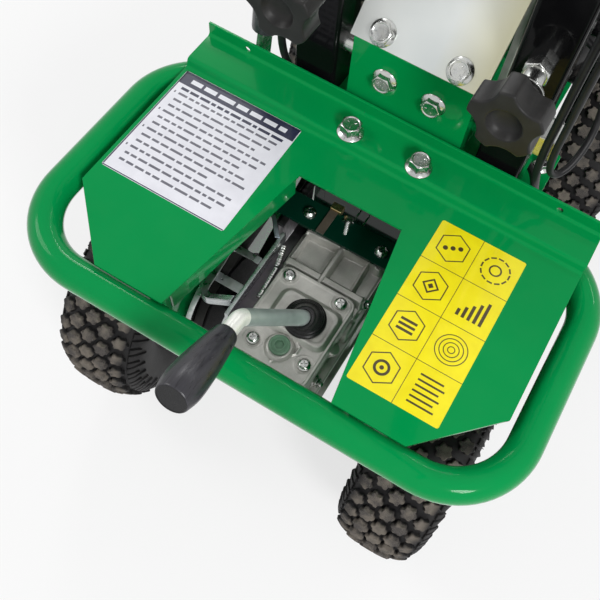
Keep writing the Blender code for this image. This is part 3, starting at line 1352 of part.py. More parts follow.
joint_origins = {
    "engine_pulley": (drive_belt_x, crank_y, crank_z),
    "gearbox_pulley": (drive_belt_x, input_y, input_z),
    "output_sprocket": (chain_x, output_y, output_z),
    "cam_shaft": (0, cam_y, cam_z),
    "front_axle": (0, front_axle_y, wheel_radius),
    "front_rim_left": (-front_track_half, front_axle_y, wheel_radius),
    "front_rim_right": (front_track_half, front_axle_y, wheel_radius),
    "front_tyre_left": (-front_track_half, front_axle_y, wheel_radius),
    "front_tyre_right": (front_track_half, front_axle_y, wheel_radius),
    "rear_rim_left": (-rear_track_half, rear_axle_y, wheel_radius),
    "rear_rim_right": (rear_track_half, rear_axle_y, wheel_radius),
    "rear_tyre_left": (-rear_track_half, rear_axle_y, wheel_radius),
    "rear_tyre_right": (rear_track_half, rear_axle_y, wheel_radius),
    "depth_carriage": (0, pivot_y, pivot_z),
    "depth_lever": (-depth_lever_x, pivot_y, pivot_z),
    "depth_grip": (-depth_lever_x, pivot_y, pivot_z),
    "blade": (0, rocker_y, rocker_z),
    "con_rod_left": (-blade_arm_x, rocker_y, rod_pin_z),
    "con_rod_right": (blade_arm_x, rocker_y, rod_pin_z),
    "drive_idler": (drive_belt_x, *drive_idler_pivot),
    "blade_idler": (blade_belt_x, *blade_idler_pivot),
    "shift_lever": (boot_x, boot_y, gear_top),
    "shift_grip": (boot_x, boot_y, gear_top),
    "clamp_knob_left": (-post_x, post_y, clamp_z),
    "clamp_knob_right": (post_x, post_y, clamp_z),
    "fuel_cap": (cap_x, cap_y, deck_top),
    "starter_grip": (starter_x, crank_y, crank_z),
    "drive_lever": tuple(lever_pin(1)),
    "blade_lever": tuple(lever_pin(-1)),
    "throttle_lever": tuple(bar_point(1, throttle_y) + Vector((0, 0, 0.023))),
}


def settle(name):
    """Keeps the finished mesh of a node, with its origin on its joint's axis."""
    obj = solid(bpy.data.objects[name])
    at = Vector(joint_origins.get(name, (0, 0, 0)))
    obj.data.transform(Matrix.Translation(-at))
    obj.location = at


def main():
    global collection, cutters
    clear_scene()
    collection = new_collection("turf_cutter")
    cutters = new_collection("cutters")
    make_palette()
    make_side_plates()
    make_deck()
    make_rear_cover()
    make_guard_tube()
    make_tower()
    make_guard_plate()
    make_posts()
    make_handlebar()
    make_grips()
    make_gearbox()
    make_gearbox_cover()
    make_gearbox_fittings()
    make_gearbox_bracket()
    make_belt_keeper()
    make_shift_lever()
    make_drive_train()
    make_belts()
    make_idlers()
    make_chain_drive()
    make_wheels()
    make_carriage()
    make_blade()
    make_rods()
    make_engine()
    make_tank()
    make_engine_dress()
    make_belt_guard()
    make_hand_levers()
    make_throttle()
    make_cables()
    make_clamp_knobs()
    for name in [item.name for item in collection.objects]:
        settle(name)


main()
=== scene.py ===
"""Dresses the turf cutter's frame: finished pieces, surface finishes, light and camera.

A Shape gathers the surfaces of one piece, and done() makes the piece of it. Lengths are in metres,
but points inside mm() are in millimetres. X runs to the right, Y forwards and Z up.
"""

import json
import math
import random

import bmesh
import bpy
from mathutils import Matrix, Vector

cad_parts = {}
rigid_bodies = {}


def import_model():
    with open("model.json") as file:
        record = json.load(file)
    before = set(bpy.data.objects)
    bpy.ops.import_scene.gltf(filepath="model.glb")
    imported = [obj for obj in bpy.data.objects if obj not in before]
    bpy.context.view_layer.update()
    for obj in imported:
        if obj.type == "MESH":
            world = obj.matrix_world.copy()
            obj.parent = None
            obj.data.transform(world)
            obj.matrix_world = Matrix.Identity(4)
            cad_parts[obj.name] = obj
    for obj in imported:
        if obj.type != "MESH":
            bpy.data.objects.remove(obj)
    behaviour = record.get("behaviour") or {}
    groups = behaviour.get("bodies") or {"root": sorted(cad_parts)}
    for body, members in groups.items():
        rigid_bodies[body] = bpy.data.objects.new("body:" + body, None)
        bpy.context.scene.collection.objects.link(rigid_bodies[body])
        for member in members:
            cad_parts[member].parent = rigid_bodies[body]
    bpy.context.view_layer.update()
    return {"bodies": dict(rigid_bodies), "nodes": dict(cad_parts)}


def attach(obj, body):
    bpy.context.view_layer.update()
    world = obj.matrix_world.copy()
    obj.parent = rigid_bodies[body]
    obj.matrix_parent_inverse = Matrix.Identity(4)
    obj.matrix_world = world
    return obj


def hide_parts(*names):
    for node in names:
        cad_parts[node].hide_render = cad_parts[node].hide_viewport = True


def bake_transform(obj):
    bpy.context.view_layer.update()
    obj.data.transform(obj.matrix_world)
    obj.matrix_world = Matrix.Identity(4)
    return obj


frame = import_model()

# Sizes shared with the frame, in metres

gap = 0.0003
wheel_radius = 0.135
rear_axle_y = -0.065
front_axle_y = 0.390
rear_track_half = 0.170
front_track_half = 0.175
rim_radius = 0.056
cover_top = 0.325
cover_gauge = 0.003
cover_half = 0.2185
cover_rear_y = -0.155
cover_chamfer_y = -0.090
cover_chamfer_half = 0.154
riser_y = 0.076
riser_lean = 0.0028
shelf_rise = 0.010
shelf_bolt_x = 0.0375
shelf_bolt_y = 0.088
flange_y = 0.118
flange_rise = 0.015
end_hole_x = 0.173
end_hole_z = 0.3405
notch_front_y = 0.024
notch_front_half = 0.055
notch_rear_half = 0.084
notch_skirt_depth = 0.024
guard_radius = 0.0159
guard_half = 0.241
guard_rear_y = -0.165
guard_front_y = 0.095
guard_bend = 0.070
frame_half = 0.105
tower_half = 0.0625
tower_y = 0.122
tower_gauge = 0.005
face_bolt_x = 0.0255
face_bolt_z = 0.3835
plate_bolt_x = 0.0385
post_width = 0.045
post_x = 0.101
post_y = 0.145
post_bottom = 0.325
post_top = 0.620
post_bolt_z = 0.387
bar_radius = 0.0145
bar_rear_y = -0.5986
bar_spread = 0.230
bar_end_z = 0.930
bar_bend_y = -0.270
bar_bend_z = 0.905
lever_clamp_y = -0.440
lever_clamp_end = -0.424
throttle_y = -0.375
throttle_reach = 0.014
grip_length = 0.125
clamp_z = 0.479
clamp_stack = 0.0337
knob_face_y = 0.0505
knob_reach = 0.0318
gear_x = 0.0085
gear_half = 0.0415
gear_top = 0.265
gear_rear_y = -0.140
gear_front_y = -0.035
gear_bottom = 0.150
boot_at = Vector((0.015, -0.076, 0.2693))
plug_at = Vector((0.010, -0.114, 0.2698))
fan_y = 0.360
fan_z = 0.406


sides = ((-1, "left"), (1, "right"))
round_from = math.radians(32)    # corners sharper than this are rounded
crease_from = math.radians(38)   # corners sharper than this stay sharp on a piece without rounding


# Placing

def body_of(node):
    """The body that a CAD node rides on."""
    holder = frame["nodes"][node].parent
    return next(name for name, empty in frame["bodies"].items() if empty is holder)


def facing(at, axis, turn=0.0):
    """A place whose Z runs along the axis."""
    spin = Vector((0, 0, 1)).rotation_difference(Vector(axis)).to_matrix().to_4x4()
    return Matrix.Translation(at) @ spin @ Matrix.Rotation(turn, 4, "Z")


def angles(count, first=0.0):
    """Angles that are spread evenly over a full turn."""
    return [first + 2 * math.pi * k / count for k in range(count)]


here = Matrix.Identity(4)
on_flank = Matrix(((0, 0, 1, 0), (1, 0, 0, 0), (0, 1, 0, 0), (0, 0, 0, 1)))   # turns an outline to face sideways


# Outlines and routes

def mm(*points):
    """Points that are written in millimetres."""
    return [tuple(value / 1000 for value in point) for point in points]


def corner(at, back, ahead, size, steps):
    """The arc that rounds off a corner between two edges."""
    half = back.angle(ahead) / 2
    reach = min(size / math.tan(half), back.length * 0.499, ahead.length * 0.499)
    size = reach * math.tan(half)
    centre = at + (back.normalized() + ahead.normalized()).normalized() * size / math.sin(half)
    first = at + back.normalized() * reach - centre
    last = at + ahead.normalized() * reach - centre
    sweep = first.angle(last)
    arc = []
    for i in range(steps + 1):
        t = i / steps
        arc.append(centre + (first * math.sin((1 - t) * sweep) + last * math.sin(t * sweep)) / math.sin(sweep))
    return arc


def rounded(points, radius, steps=6):
    """A closed outline with its corners turned into arcs."""
    made = []
    count = len(points)
    for i in range(count):
        at = Vector(points[i])
        size = radius[i] if isinstance(radius, (list, tuple)) else radius
        if size <= 0:
            made.append(at)
            continue
        made.extend(corner(at, Vector(points[i - 1]) - at, Vector(points[(i + 1) % count]) - at, size, steps))
    return made


def bent(points, radius, steps=10):
    """An open route whose inner corners are bends."""
    route = [Vector(p) for p in points]
    made = [route[0]]
    for i in range(1, len(route) - 1):
        made.extend(corner(route[i], route[i - 1] - route[i], route[i + 1] - route[i], radius, steps))
    made.append(route[-1])
    return made


def flowing(points, steps=4):
    """A smooth curve through the route's own points."""
    route = [Vector(p) for p in points]
    ends = [route[0] * 2 - route[1]] + route + [route[-1] * 2 - route[-2]]
    made = []
    for i in range(1, len(ends) - 2):
        a, b, c, d = ends[i - 1:i + 3]
        for k in range(steps):
            t = k / steps
            made.append(0.5 * ((2 * b) + (c - a) * t + (2 * a - 5 * b + 4 * c - d) * t * t
                               + (3 * b - a - 3 * c + d) * t * t * t))
    made.append(route[-1])
    return made


def box_outline(low_x, low_y, high_x, high_y):
    return [(low_x, low_y), (high_x, low_y), (high_x, high_y), (low_x, high_y)]


def soft_box(low_x, low_y, high_x, high_y, radius, steps=6):
    """A rectangle with rounded corners."""
    return rounded(box_outline(low_x, low_y, high_x, high_y), radius, steps)


def inset(outline, distance):
    """The outline drawn in by a distance, for outlines that run anticlockwise."""
    made = []
    count = len(outline)
    for i in range(count):
        at = outline[i]
        before = (at - outline[i - 1])
        ahead = (outline[(i + 1) % count] - at)
        if before.length < 1e-9 or ahead.length < 1e-9:
            made.append(at.copy())
            continue
        first = Vector((-before.y, before.x)).normalized()
        last = Vector((-ahead.y, ahead.x)).normalized()
        middle = first + last
        if middle.length < 1e-6:
            made.append(at + first * distance)
            continue
        middle.normalize()
        made.append(at + middle * min(distance / max(middle.dot(first), 0.35), distance * 2.5))
    return made


# Building surfaces

class Shape:
    """One piece while its surfaces are being added."""

    def __init__(self):
        self.mesh = bmesh.new()

    def faces(self, rows, finish, wrap=True, skip=None):
        """Skins rows of corners, one after the other. A row of one corner closes to a point."""
        for i, (low, high) in enumerate(zip(rows, rows[1:])):
            count = max(len(low), len(high))
            for k in range(count if wrap else count - 1):
                if skip and skip(i, k):
                    continue
                j = (k + 1) % count
                if len(low) == 1:
                    ring = (low[0], high[j], high[k])
                elif len(high) == 1:
                    ring = (low[k], low[j], high[0])
                else:
                    ring = (low[k], low[j], high[j], high[k])
                if len(set(ring)) > 2:
                    self.mesh.faces.new(ring).material_index = finish

    def cap(self, row, finish):
        if len(row) > 2:
            self.mesh.faces.new(row).material_index = finish

    def loft(self, loops, place=here, finish=0):
        """Skins closed loops of points that all have as many corners."""
        rows = [[self.mesh.verts.new(place @ Vector(p)) for p in loop] for loop in loops]
        self.faces(rows, finish)
        self.cap(rows[0][::-1], finish)
        self.cap(rows[-1], finish)
        return self

    def spun(self, rings, place, steps=32, finish=0, closed=False, skip=None):
        """A surface about Z. Each ring is (radius, height), and both may change with the angle."""
        rows = []
        for radius, height in rings:
            if not callable(radius) and radius == 0:
                rows.append([self.mesh.verts.new(place @ Vector((0, 0, height)))])
                continue
            row = []
            for a in angles(steps):
                r = radius(a) if callable(radius) else radius
                h = height(a) if callable(height) else height
                row.append(self.mesh.verts.new(place @ Vector((r * math.cos(a), r * math.sin(a), h))))
            rows.append(row)
        if closed:
            rows.append(rows[0])
        self.faces(rows, finish, skip=skip)
        return self

    def drum(self, radius, low, high, place, steps=32, finish=0, top=None):
        """A closed cylinder about Z, whose top may have a radius of its own."""
        return self.spun([(0, low), (radius, low), (top or radius, high), (0, high)], place, steps, finish)

    def tube(self, route, radius, around=24, finish=0):
        """A tube along a route. The radius is one number, or one for each point."""
        points = [Vector(p) for p in route]
        count = len(points)
        aim = (points[1] - points[0]).normalized()
        side = aim.orthogonal().normalized()
        rows = []
        for i, at in enumerate(points):
            ahead = (points[min(i + 1, count - 1)] - points[max(i - 1, 0)]).normalized()
            side = (aim.rotation_difference(ahead) @ side).normalized()
            side = (side - ahead * side.dot(ahead)).normalized()
            aim = ahead
            across = aim.cross(side)
            r = radius[i] if isinstance(radius, (list, tuple)) else radius
            rows.append([self.mesh.verts.new(at + (side * math.cos(a) + across * math.sin(a)) * r)
                         for a in angles(around)])
        self.faces(rows, finish)
        self.cap(rows[0][::-1], finish)
        self.cap(rows[-1], finish)
        return self

    def pad(self, outline, low, high, place=here, finish=0, edge=0.0, draft=0.0, steps=4):
        """A flat-topped form over an outline, with sloping sides and a rounded upper edge."""
        outline = [Vector(p) for p in outline]
        loops = [[(p.x, p.y, low) for p in outline]]
        if edge:
            for k in range(steps + 1):
                a = math.pi / 2 * k / steps
                drawn = inset(outline, draft + edge * (1 - math.cos(a)))
                loops.append([(p.x, p.y, high - edge + edge * math.sin(a)) for p in drawn])
        else:
            loops.append([(p.x, p.y, high) for p in inset(outline, draft)])
        return self.loft(loops, place, finish)

    def block(self, low, high, place=here, finish=0):
        """A box between two corners."""
        outline = box_outline(low[0], low[1], high[0], high[1])
        return self.pad(outline, low[2], high[2], place, finish)


def mesh_of(shape, name, origin=None):
    """The shape's mesh, with its faces turned outwards."""
    made = bpy.data.meshes.new(name)
    bmesh.ops.recalc_face_normals(shape.mesh, faces=shape.mesh.faces)
    if origin is not None:
        bmesh.ops.translate(shape.mesh, vec=-Vector(origin), verts=shape.mesh.verts)
    shape.mesh.to_mesh(made)
    shape.mesh.free()
    return made


def placed(name, data):
    """A mesh, lamp or camera put into the scene."""
    obj = bpy.data.objects.new(name, data)
    bpy.context.scene.collection.objects.link(obj)
    return obj


def done(shape, name, finishes, stands_for=(), body="frame", edge=0.0, origin=None, smooth=True,
         segments=1):
    """Turns a shape into a piece that rides on its body; a piece given two bodies stays where it is made, on no
    body.
    """
    made = mesh_of(shape, name, origin)
    obj = placed(name, made)
    if origin is not None:
        obj.location = origin
    for finish in finishes:
        made.materials.append(finish)
    if smooth:
        made.shade_smooth()
    soften(obj, edge, segments)
    if isinstance(body, tuple):
        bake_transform(obj)
    else:
        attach(obj, body)
    if stands_for:
        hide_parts(*stands_for)
    return obj


def round_edges(obj, width, segments):
    bevel = obj.modifiers.new("edges", "BEVEL")
    bevel.width = width
    bevel.segments = segments
    bevel.limit_method = "ANGLE"
    bevel.angle_limit = round_from
    bevel.use_clamp_overlap = True


def even_shading(obj):
    even = obj.modifiers.new("shading", "WEIGHTED_NORMAL")
    even.keep_sharp = True
    even.weight = 80


def soften(obj, edge, segments=2):
    """Rounds the sharp edges and evens out the shading beside them."""
    if edge:
        round_edges(obj, edge, segments)
    else:
        obj.data.set_sharp_from_angle(angle=crease_from)
    even_shading(obj)


def dress(node, finish, edge):
    """Gives a CAD node its finish, and rounds its sharp edges."""
    obj = frame["nodes"][node]
    obj.data.materials.clear()
    obj.data.materials.append(finish)
    weld = obj.modifiers.new("weld", "WELD")
    weld.merge_threshold = 0.00002
    round_edges(obj, edge, 2)
    obj.data.shade_smooth()
    even_shading(obj)


def cut_out(obj, cutter, edge):
    """Cuts a shape out of a finished piece, and rounds its edges again."""
    tool = placed("cutter", mesh_of(cutter, "cutter"))
    obj.modifiers.clear()
    modifier = obj.modifiers.new("cut", "BOOLEAN")
    modifier.operation = "DIFFERENCE"
    modifier.solver = "EXACT"
    modifier.use_self = True
    modifier.object = tool
    graph = bpy.context.evaluated_depsgraph_get()
    finished = bpy.data.meshes.new_from_object(obj.evaluated_get(graph))
    obj.modifiers.clear()
    finished.name = obj.data.name
    obj.data = finished
    bpy.data.objects.remove(tool, do_unlink=True)
    obj.data.shade_smooth()
    soften(obj, edge)


# Surface effects

def add(tree, kind, **settings):
    node = tree.nodes.new(kind)
    for name, value in settings.items():
        setattr(node, name, value)
    return node


def new_group(name, inputs, outputs):
    group = bpy.data.node_groups.new(name, "ShaderNodeTree")
    for label, kind, value in inputs:
        socket = group.interface.new_socket(label, in_out="INPUT", socket_type=kind)
        socket.default_value = value
    for label, kind in outputs:
        group.interface.new_socket(label, in_out="OUTPUT", socket_type=kind)
    return group, add(group, "NodeGroupInput"), add(group, "NodeGroupOutput")


def noise(tree, scale, detail):
    """Noise in the piece's own space. Its scale is a number or a socket."""
    place = add(tree, "ShaderNodeTexCoord")
    made = add(tree, "ShaderNodeTexNoise")
    made.inputs["Detail"].default_value = detail
    tree.links.new(place.outputs["Object"], made.inputs["Vector"])
    if isinstance(scale, bpy.types.NodeSocket):
        tree.links.new(scale, made.inputs["Scale"])
    else:
        made.inputs["Scale"].default_value = scale
    return made.outputs["Fac"]


def span(tree, value, low, high):
    """Spreads the values between low and high over 0 to 1."""
    made = add(tree, "ShaderNodeMapRange")
    made.inputs["From Min"].default_value = low
    made.inputs["From Max"].default_value = high
    tree.links.new(value, made.inputs["Value"])
    return made.outputs[0]


def masked(group, given, result, first, second):
    """Gives out two masks' product, as strong as the amount that is asked for."""
    both = add(group, "ShaderNodeMath", operation="MULTIPLY")
    much = add(group, "ShaderNodeMath", operation="MULTIPLY", use_clamp=True)
    group.links.new(first, both.inputs[0])
    group.links.new(second, both.inputs[1])
    group.links.new(both.outputs[0], much.inputs[0])
    group.links.new(given.outputs["Amount"], much.inputs[1])
    group.links.new(much.outputs[0], result.inputs["Mask"])
    return group


def make_grain():
    """Fine grain, and soft clouds about fifteen times as wide."""
    group, given, result = new_group("grain", [("Scale", "NodeSocketFloat", 900.0)],
                                     [("Grain", "NodeSocketFloat"), ("Clouds", "NodeSocketFloat")])
    wider = add(group, "ShaderNodeMath", operation="MULTIPLY")
    wider.inputs[1].default_value = 0.065
    group.links.new(given.outputs["Scale"], wider.inputs[0])
    group.links.new(noise(group, given.outputs["Scale"], 3.0), result.inputs["Grain"])
    group.links.new(noise(group, wider.outputs[0], 4.0), result.inputs["Clouds"])
    return group


def make_streaks():
    """Fine lines, drawn out along the axis whose stretch is small."""
    group, given, result = new_group("streaks", [("Stretch", "NodeSocketVector", (300.0, 300.0, 12.0))],
                                     [("Streak", "NodeSocketFloat")])
    place = add(group, "ShaderNodeTexCoord")
    drawn = add(group, "ShaderNodeVectorMath", operation="MULTIPLY")
    lines = add(group, "ShaderNodeTexNoise")
    lines.inputs["Scale"].default_value = 1.0
    lines.inputs["Detail"].default_value = 2.0
    links = group.links
    links.new(place.outputs["Object"], drawn.inputs[0])
    links.new(given.outputs["Stretch"], drawn.inputs[1])
    links.new(drawn.outputs[0], lines.inputs["Vector"])
    links.new(lines.outputs["Fac"], result.inputs["Streak"])
    return group


def make_dust():
    """Dust that has settled on faces that look up, in patches."""
    group, given, result = new_group("dust",
                                     [("Amount", "NodeSocketFloat", 0.3), ("Scale", "NodeSocketFloat", 60.0)],
                                     [("Mask", "NodeSocketFloat")])
    place = add(group, "ShaderNodeTexCoord")
    parts = add(group, "ShaderNodeSeparateXYZ")
    group.links.new(place.outputs["Normal"], parts.inputs[0])
    up = span(group, parts.outputs["Z"], 0.1, 1.0)
    patches = span(group, noise(group, given.outputs["Scale"], 5.0), 0.42, 0.72)
    return masked(group, given, result, up, patches)


def make_relief_mask(name, start, full, scale, sparse, dense):
    """A mask by how far the surface stands out or lies in, broken up by a fine noise."""
    group, given, result = new_group(name, [("Amount", "NodeSocketFloat", 0.5)], [("Mask", "NodeSocketFloat")])
    shape = add(group, "ShaderNodeNewGeometry")
    relief = span(group, shape.outputs["Pointiness"], start, full)
    bits = span(group, noise(group, scale, 4.0), sparse, dense)
    return masked(group, given, result, relief, bits)


grain_group = make_grain()
streak_group = make_streaks()
dust_group = make_dust()
edge_rub_and_highlight_group = make_relief_mask("edge wear and painted highlight", 0.53, 0.60, 140.0, 0.40, 0.60)   # edges and corners lightened, as rubbed wear and as painted highlight
hollow_dirt_and_shade_group = make_relief_mask("hollow dirt and painted shade", 0.492, 0.42, 220.0, 0.30, 0.55)     # hollows and inner corners darkened, as dirt and as painted shade


class Finish:
    """A material while its nodes are being laid out."""

    def __init__(self, name, metallic=0.0, roughness=0.5, coat=0.0, specular=0.5):
        self.material = bpy.data.materials.new(name)
        self.material.use_nodes = True
        self.tree = self.material.node_tree
        self.shader = self.tree.nodes["Principled BSDF"]
        self.shader.inputs["Metallic"].default_value = metallic
        self.shader.inputs["Roughness"].default_value = roughness
        self.shader.inputs["Coat Weight"].default_value = coat
        self.shader.inputs["Coat Roughness"].default_value = 0.06
        self.shader.inputs["Specular IOR Level"].default_value = specular

    def effect(self, group, output, **values):
        node = add(self.tree, "ShaderNodeGroup", node_tree=group)
        for name, value in values.items():
            node.inputs[name].default_value = value
        return node.outputs[output]

    def mix(self, mask, low, high):
        node = add(self.tree, "ShaderNodeMix", data_type="RGBA")
        self.feed(mask, node.inputs["Factor"])
        self.feed(low, node.inputs[6])
        self.feed(high, node.inputs[7])
        return node.outputs[2]

    def clouds(self, scale):
        return self.effect(grain_group, "Clouds", Scale=scale)

    def grain(self, scale):
        return self.effect(grain_group, "Grain", Scale=scale)

    def streaks(self, stretch):
        return self.effect(streak_group, "Streak", Stretch=stretch)

    def blend(self, pattern, low, high):
        """Goes from one colour to the other over the middle of a pattern's values."""
        return self.mix(self.ramp(pattern, 0.0, 1.0), low, high)

    def dusted(self, base, tint, amount, scale):
        """The base colour under settled dust."""
        return self.mix(self.effect(dust_group, "Mask", Amount=amount, Scale=scale), base, tint)

    def feed(self, value, socket):
        if isinstance(value, bpy.types.NodeSocket):
            self.tree.links.new(value, socket)
        elif isinstance(value, (tuple, list)) and len(value) == 3 and socket.type == "RGBA":
            socket.default_value = (*value, 1.0)
        else:
            socket.default_value = value

    def ramp(self, value, low, high, start=0.3, stop=0.7):
        node = add(self.tree, "ShaderNodeMapRange")
        self.feed(value, node.inputs["Value"])
        node.inputs["From Min"].default_value = start
        node.inputs["From Max"].default_value = stop
        node.inputs["To Min"].default_value = low
        node.inputs["To Max"].default_value = high
        return node.outputs[0]

    def sum(self, first, second):
        node = add(self.tree, "ShaderNodeMath", operation="ADD")
        self.feed(first, node.inputs[0])
        self.feed(second, node.inputs[1])
        return node.outputs[0]

    def colour(self, value):
        self.feed(value, self.shader.inputs["Base Color"])
        return self

    def rough(self, value):
        self.feed(value, self.shader.inputs["Roughness"])
        return self

    def gloss(self, facing_on, grazing):
        """Lets the clear coat shine more where the surface is seen at a slant."""
        slant = add(self.tree, "ShaderNodeLayerWeight")
        slant.inputs["Blend"].default_value = 0.5
        self.feed(self.ramp(slant.outputs["Facing"], facing_on, grazing, 0.20, 0.80),
                  self.shader.inputs["Coat Weight"])
        return self

    def bump(self, height, strength, distance):
        node = add(self.tree, "ShaderNodeBump")
        node.inputs["Strength"].default_value = strength
        node.inputs["Distance"].default_value = distance
        self.feed(height, node.inputs["Height"])
        self.tree.links.new(node.outputs["Normal"], self.shader.inputs["Normal"])
        return self


def green_paint(name="green_gloss_paint", dark=(0.0004, 0.268, 0.064), pale=(0.0005, 0.282, 0.068)):
    made = Finish(name, roughness=0.2, coat=0.32, specular=0.02)
    clouds = made.clouds(150.0)
    base = made.blend(clouds, dark, pale)
    made.colour(made.dusted(base, (0.35, 0.42, 0.33), 0.006, 40.0))
    made.rough(made.ramp(clouds, 0.17, 0.20))
    made.gloss(0.14, 0.95)
    made.bump(made.grain(160.0), 0.012, 0.00012)
    return made.material


def black_paint():
    made = Finish("black_frame_paint", roughness=0.2, coat=0.16, specular=0.03)
    clouds = made.clouds(420.0)
    base = made.blend(clouds, (0.0030, 0.0030, 0.0034), (0.0055, 0.0055, 0.0060))
    made.colour(made.dusted(base, (0.10, 0.095, 0.085), 0.02, 70.0))
    made.rough(made.ramp(clouds, 0.14, 0.24))
    made.bump(made.grain(500.0), 0.03, 0.00008)
    return made.material


def zinc(name="zinc_plate", stretch=(260.0, 16.0, 260.0), dark=(0.50, 0.50, 0.48), pale=(0.68, 0.675, 0.63),
         streak_tint=(0.42, 0.45, 0.48), rough=(0.18, 0.38)):
    made = Finish(name, metallic=1.0, roughness=0.3)
    streak = made.streaks(stretch)
    clouds = made.clouds(700.0)
    base = made.blend(clouds, dark, pale)
    made.colour(made.mix(made.ramp(streak, 0.0, 0.5), base, streak_tint))
    made.rough(made.ramp(made.sum(made.ramp(streak, 0.0, 0.5), made.ramp(clouds, 0.0, 0.5)), *rough))
    made.bump(made.grain(1500.0), 0.08, 0.00006)
    return made.material


def zinc_sheet():
    """Satin zinc sheet, nearly white, that turns yellowish towards its right edge."""
    made = Finish("zinc_sheet", metallic=0.9, roughness=0.36)
    clouds = made.clouds(150.0)
    base = made.blend(clouds, (0.62, 0.66, 0.655), (0.74, 0.76, 0.74))
    place = add(made.tree, "ShaderNodeTexCoord")
    parts = add(made.tree, "ShaderNodeSeparateXYZ")
    made.tree.links.new(place.outputs["Object"], parts.inputs[0])
    tint = made.ramp(parts.outputs["X"], 0.0, 1.0, 0.015, 0.062)
    made.colour(made.mix(tint, base, (0.60, 0.585, 0.42)))
    made.rough(made.ramp(clouds, 0.30, 0.42))
    made.bump(made.grain(900.0), 0.05, 0.00006)
    return made.material


def machined_steel():
    made = Finish("machined_steel", metallic=1.0, roughness=0.35)
    streak = made.streaks((30.0, 420.0, 420.0))
    clouds = made.clouds(500.0)
    base = made.blend(clouds, (0.30, 0.30, 0.31), (0.50, 0.50, 0.50))
    made.colour(made.dusted(base, (0.16, 0.12, 0.09), 0.5, 90.0))
    made.rough(made.ramp(streak, 0.26, 0.48))
    made.bump(streak, 0.08, 0.0001)
    return made.material


def cast_aluminium():
    made = Finish("cast_aluminium", metallic=0.55, roughness=0.42)
    clouds = made.clouds(900.0)
    grain = made.grain(2400.0)
    base = made.blend(clouds, (0.37, 0.362, 0.338), (0.53, 0.52, 0.486))
    speckled = made.mix(made.ramp(grain, 0.0, 0.35, 0.45, 0.7), base, (0.68, 0.67, 0.64))
    # Raised edges and ribs turn pale: rubbed wear, and a painted highlight.
    rubbed_and_lit = made.mix(made.effect(edge_rub_and_highlight_group, "Mask", Amount=0.7), speckled, (0.86, 0.85, 0.82))
    # Hollows and inner corners turn dark: dirt, and painted shade.
    dirty_and_shaded = made.mix(made.effect(hollow_dirt_and_shade_group, "Mask", Amount=0.75), rubbed_and_lit, (0.10, 0.092, 0.078))
    made.colour(made.dusted(dirty_and_shaded, (0.20, 0.18, 0.15), 0.10, 130.0))
    made.rough(made.ramp(grain, 0.30, 0.50))
    made.bump(grain, 0.35, 0.00016)
    return made.material


def moulded_black(name="black_moulding", dark=(0.008, 0.008, 0.009), pale=(0.017, 0.017, 0.018),
                  rough=(0.34, 0.50)):
    made = Finish(name, roughness=0.45, specular=0.20)
    clouds = made.clouds(600.0)
    grain = made.grain(1600.0)
    base = made.blend(clouds, dark, pale)
    made.colour(made.dusted(base, (0.12, 0.115, 0.105), 0.10, 90.0))
    made.rough(made.ramp(grain, *rough))
    made.bump(grain, 0.22, 0.00008)
    return made.material


def grip_moulding():
    made = Finish("grip_moulding", roughness=0.34, specular=0.42)
    streak = made.streaks((420.0, 26.0, 200.0))
    grain = made.grain(1400.0)
    base = made.blend(streak, (0.018, 0.0175, 0.0215), (0.034, 0.033, 0.041))
    # Raised edges turn paler: wear, and a painted highlight.
    rubbed_and_lit = made.mix(made.effect(edge_rub_and_highlight_group, "Mask", Amount=0.30), base, (0.14, 0.14, 0.16))
    made.colour(rubbed_and_lit)
    made.rough(made.ramp(streak, 0.24, 0.42))
    made.bump(grain, 0.10, 0.00007)
    return made.material


def tyre_rubber():
    """Black rubber whose stud tops are rubbed to a dusty brown grey."""
    made = Finish("tyre_rubber", roughness=0.72, specular=0.16)
    tree = made.tree
    place = add(tree, "ShaderNodeTexCoord")
    parts = add(tree, "ShaderNodeSeparateXYZ")
    tree.links.new(place.outputs["Object"], parts.inputs[0])
    flat = add(tree, "ShaderNodeCombineXYZ")
    tree.links.new(parts.outputs["Y"], flat.inputs["Y"])
    tree.links.new(parts.outputs["Z"], flat.inputs["Z"])
    reach = add(tree, "ShaderNodeVectorMath", operation="LENGTH")
    tree.links.new(flat.outputs[0], reach.inputs[0])
    side = add(tree, "ShaderNodeMath", operation="ABSOLUTE")
    tree.links.new(parts.outputs["X"], side.inputs[0])
    crown = add(tree, "ShaderNodeMath", operation="MULTIPLY_ADD")
    tree.links.new(side.outputs[0], crown.inputs[0])
    crown.inputs[1].default_value = 0.14
    tree.links.new(reach.outputs["Value"], crown.inputs[2])
    tops = made.ramp(crown.outputs[0], 0.0, 1.0, 0.1310, 0.1336)
    clouds = made.clouds(1100.0)
    grain = made.grain(2600.0)
    rubber = made.blend(clouds, (0.0085, 0.0082, 0.0090), (0.019, 0.018, 0.018))
    dust = made.mix(made.ramp(clouds, 0.0, 1.0, 0.40, 0.62), (0.034, 0.032, 0.033), (0.150, 0.130, 0.108))
    speckled = made.mix(made.ramp(grain, 0.0, 0.7, 0.45, 0.66), dust, (0.22, 0.195, 0.17))
    made.colour(made.mix(tops, rubber, speckled))
    made.rough(made.ramp(tops, 0.52, 0.85, 0.0, 1.0))
    made.bump(grain, 0.5, 0.0002)
    return made.material


def plain_paint(name, dark, pale, rough=(0.3, 0.45), coat=0.0, metallic=0.0, grain_scale=900.0, depth=0.1,
                specular=0.5):
    made = Finish(name, roughness=rough[0], coat=coat, metallic=metallic, specular=specular)
    clouds = made.clouds(grain_scale)
    grain = made.grain(grain_scale)
    made.colour(made.blend(clouds, dark, pale))
    made.rough(made.ramp(grain, *rough))
    made.bump(grain, depth, 0.0001)
    return made.material


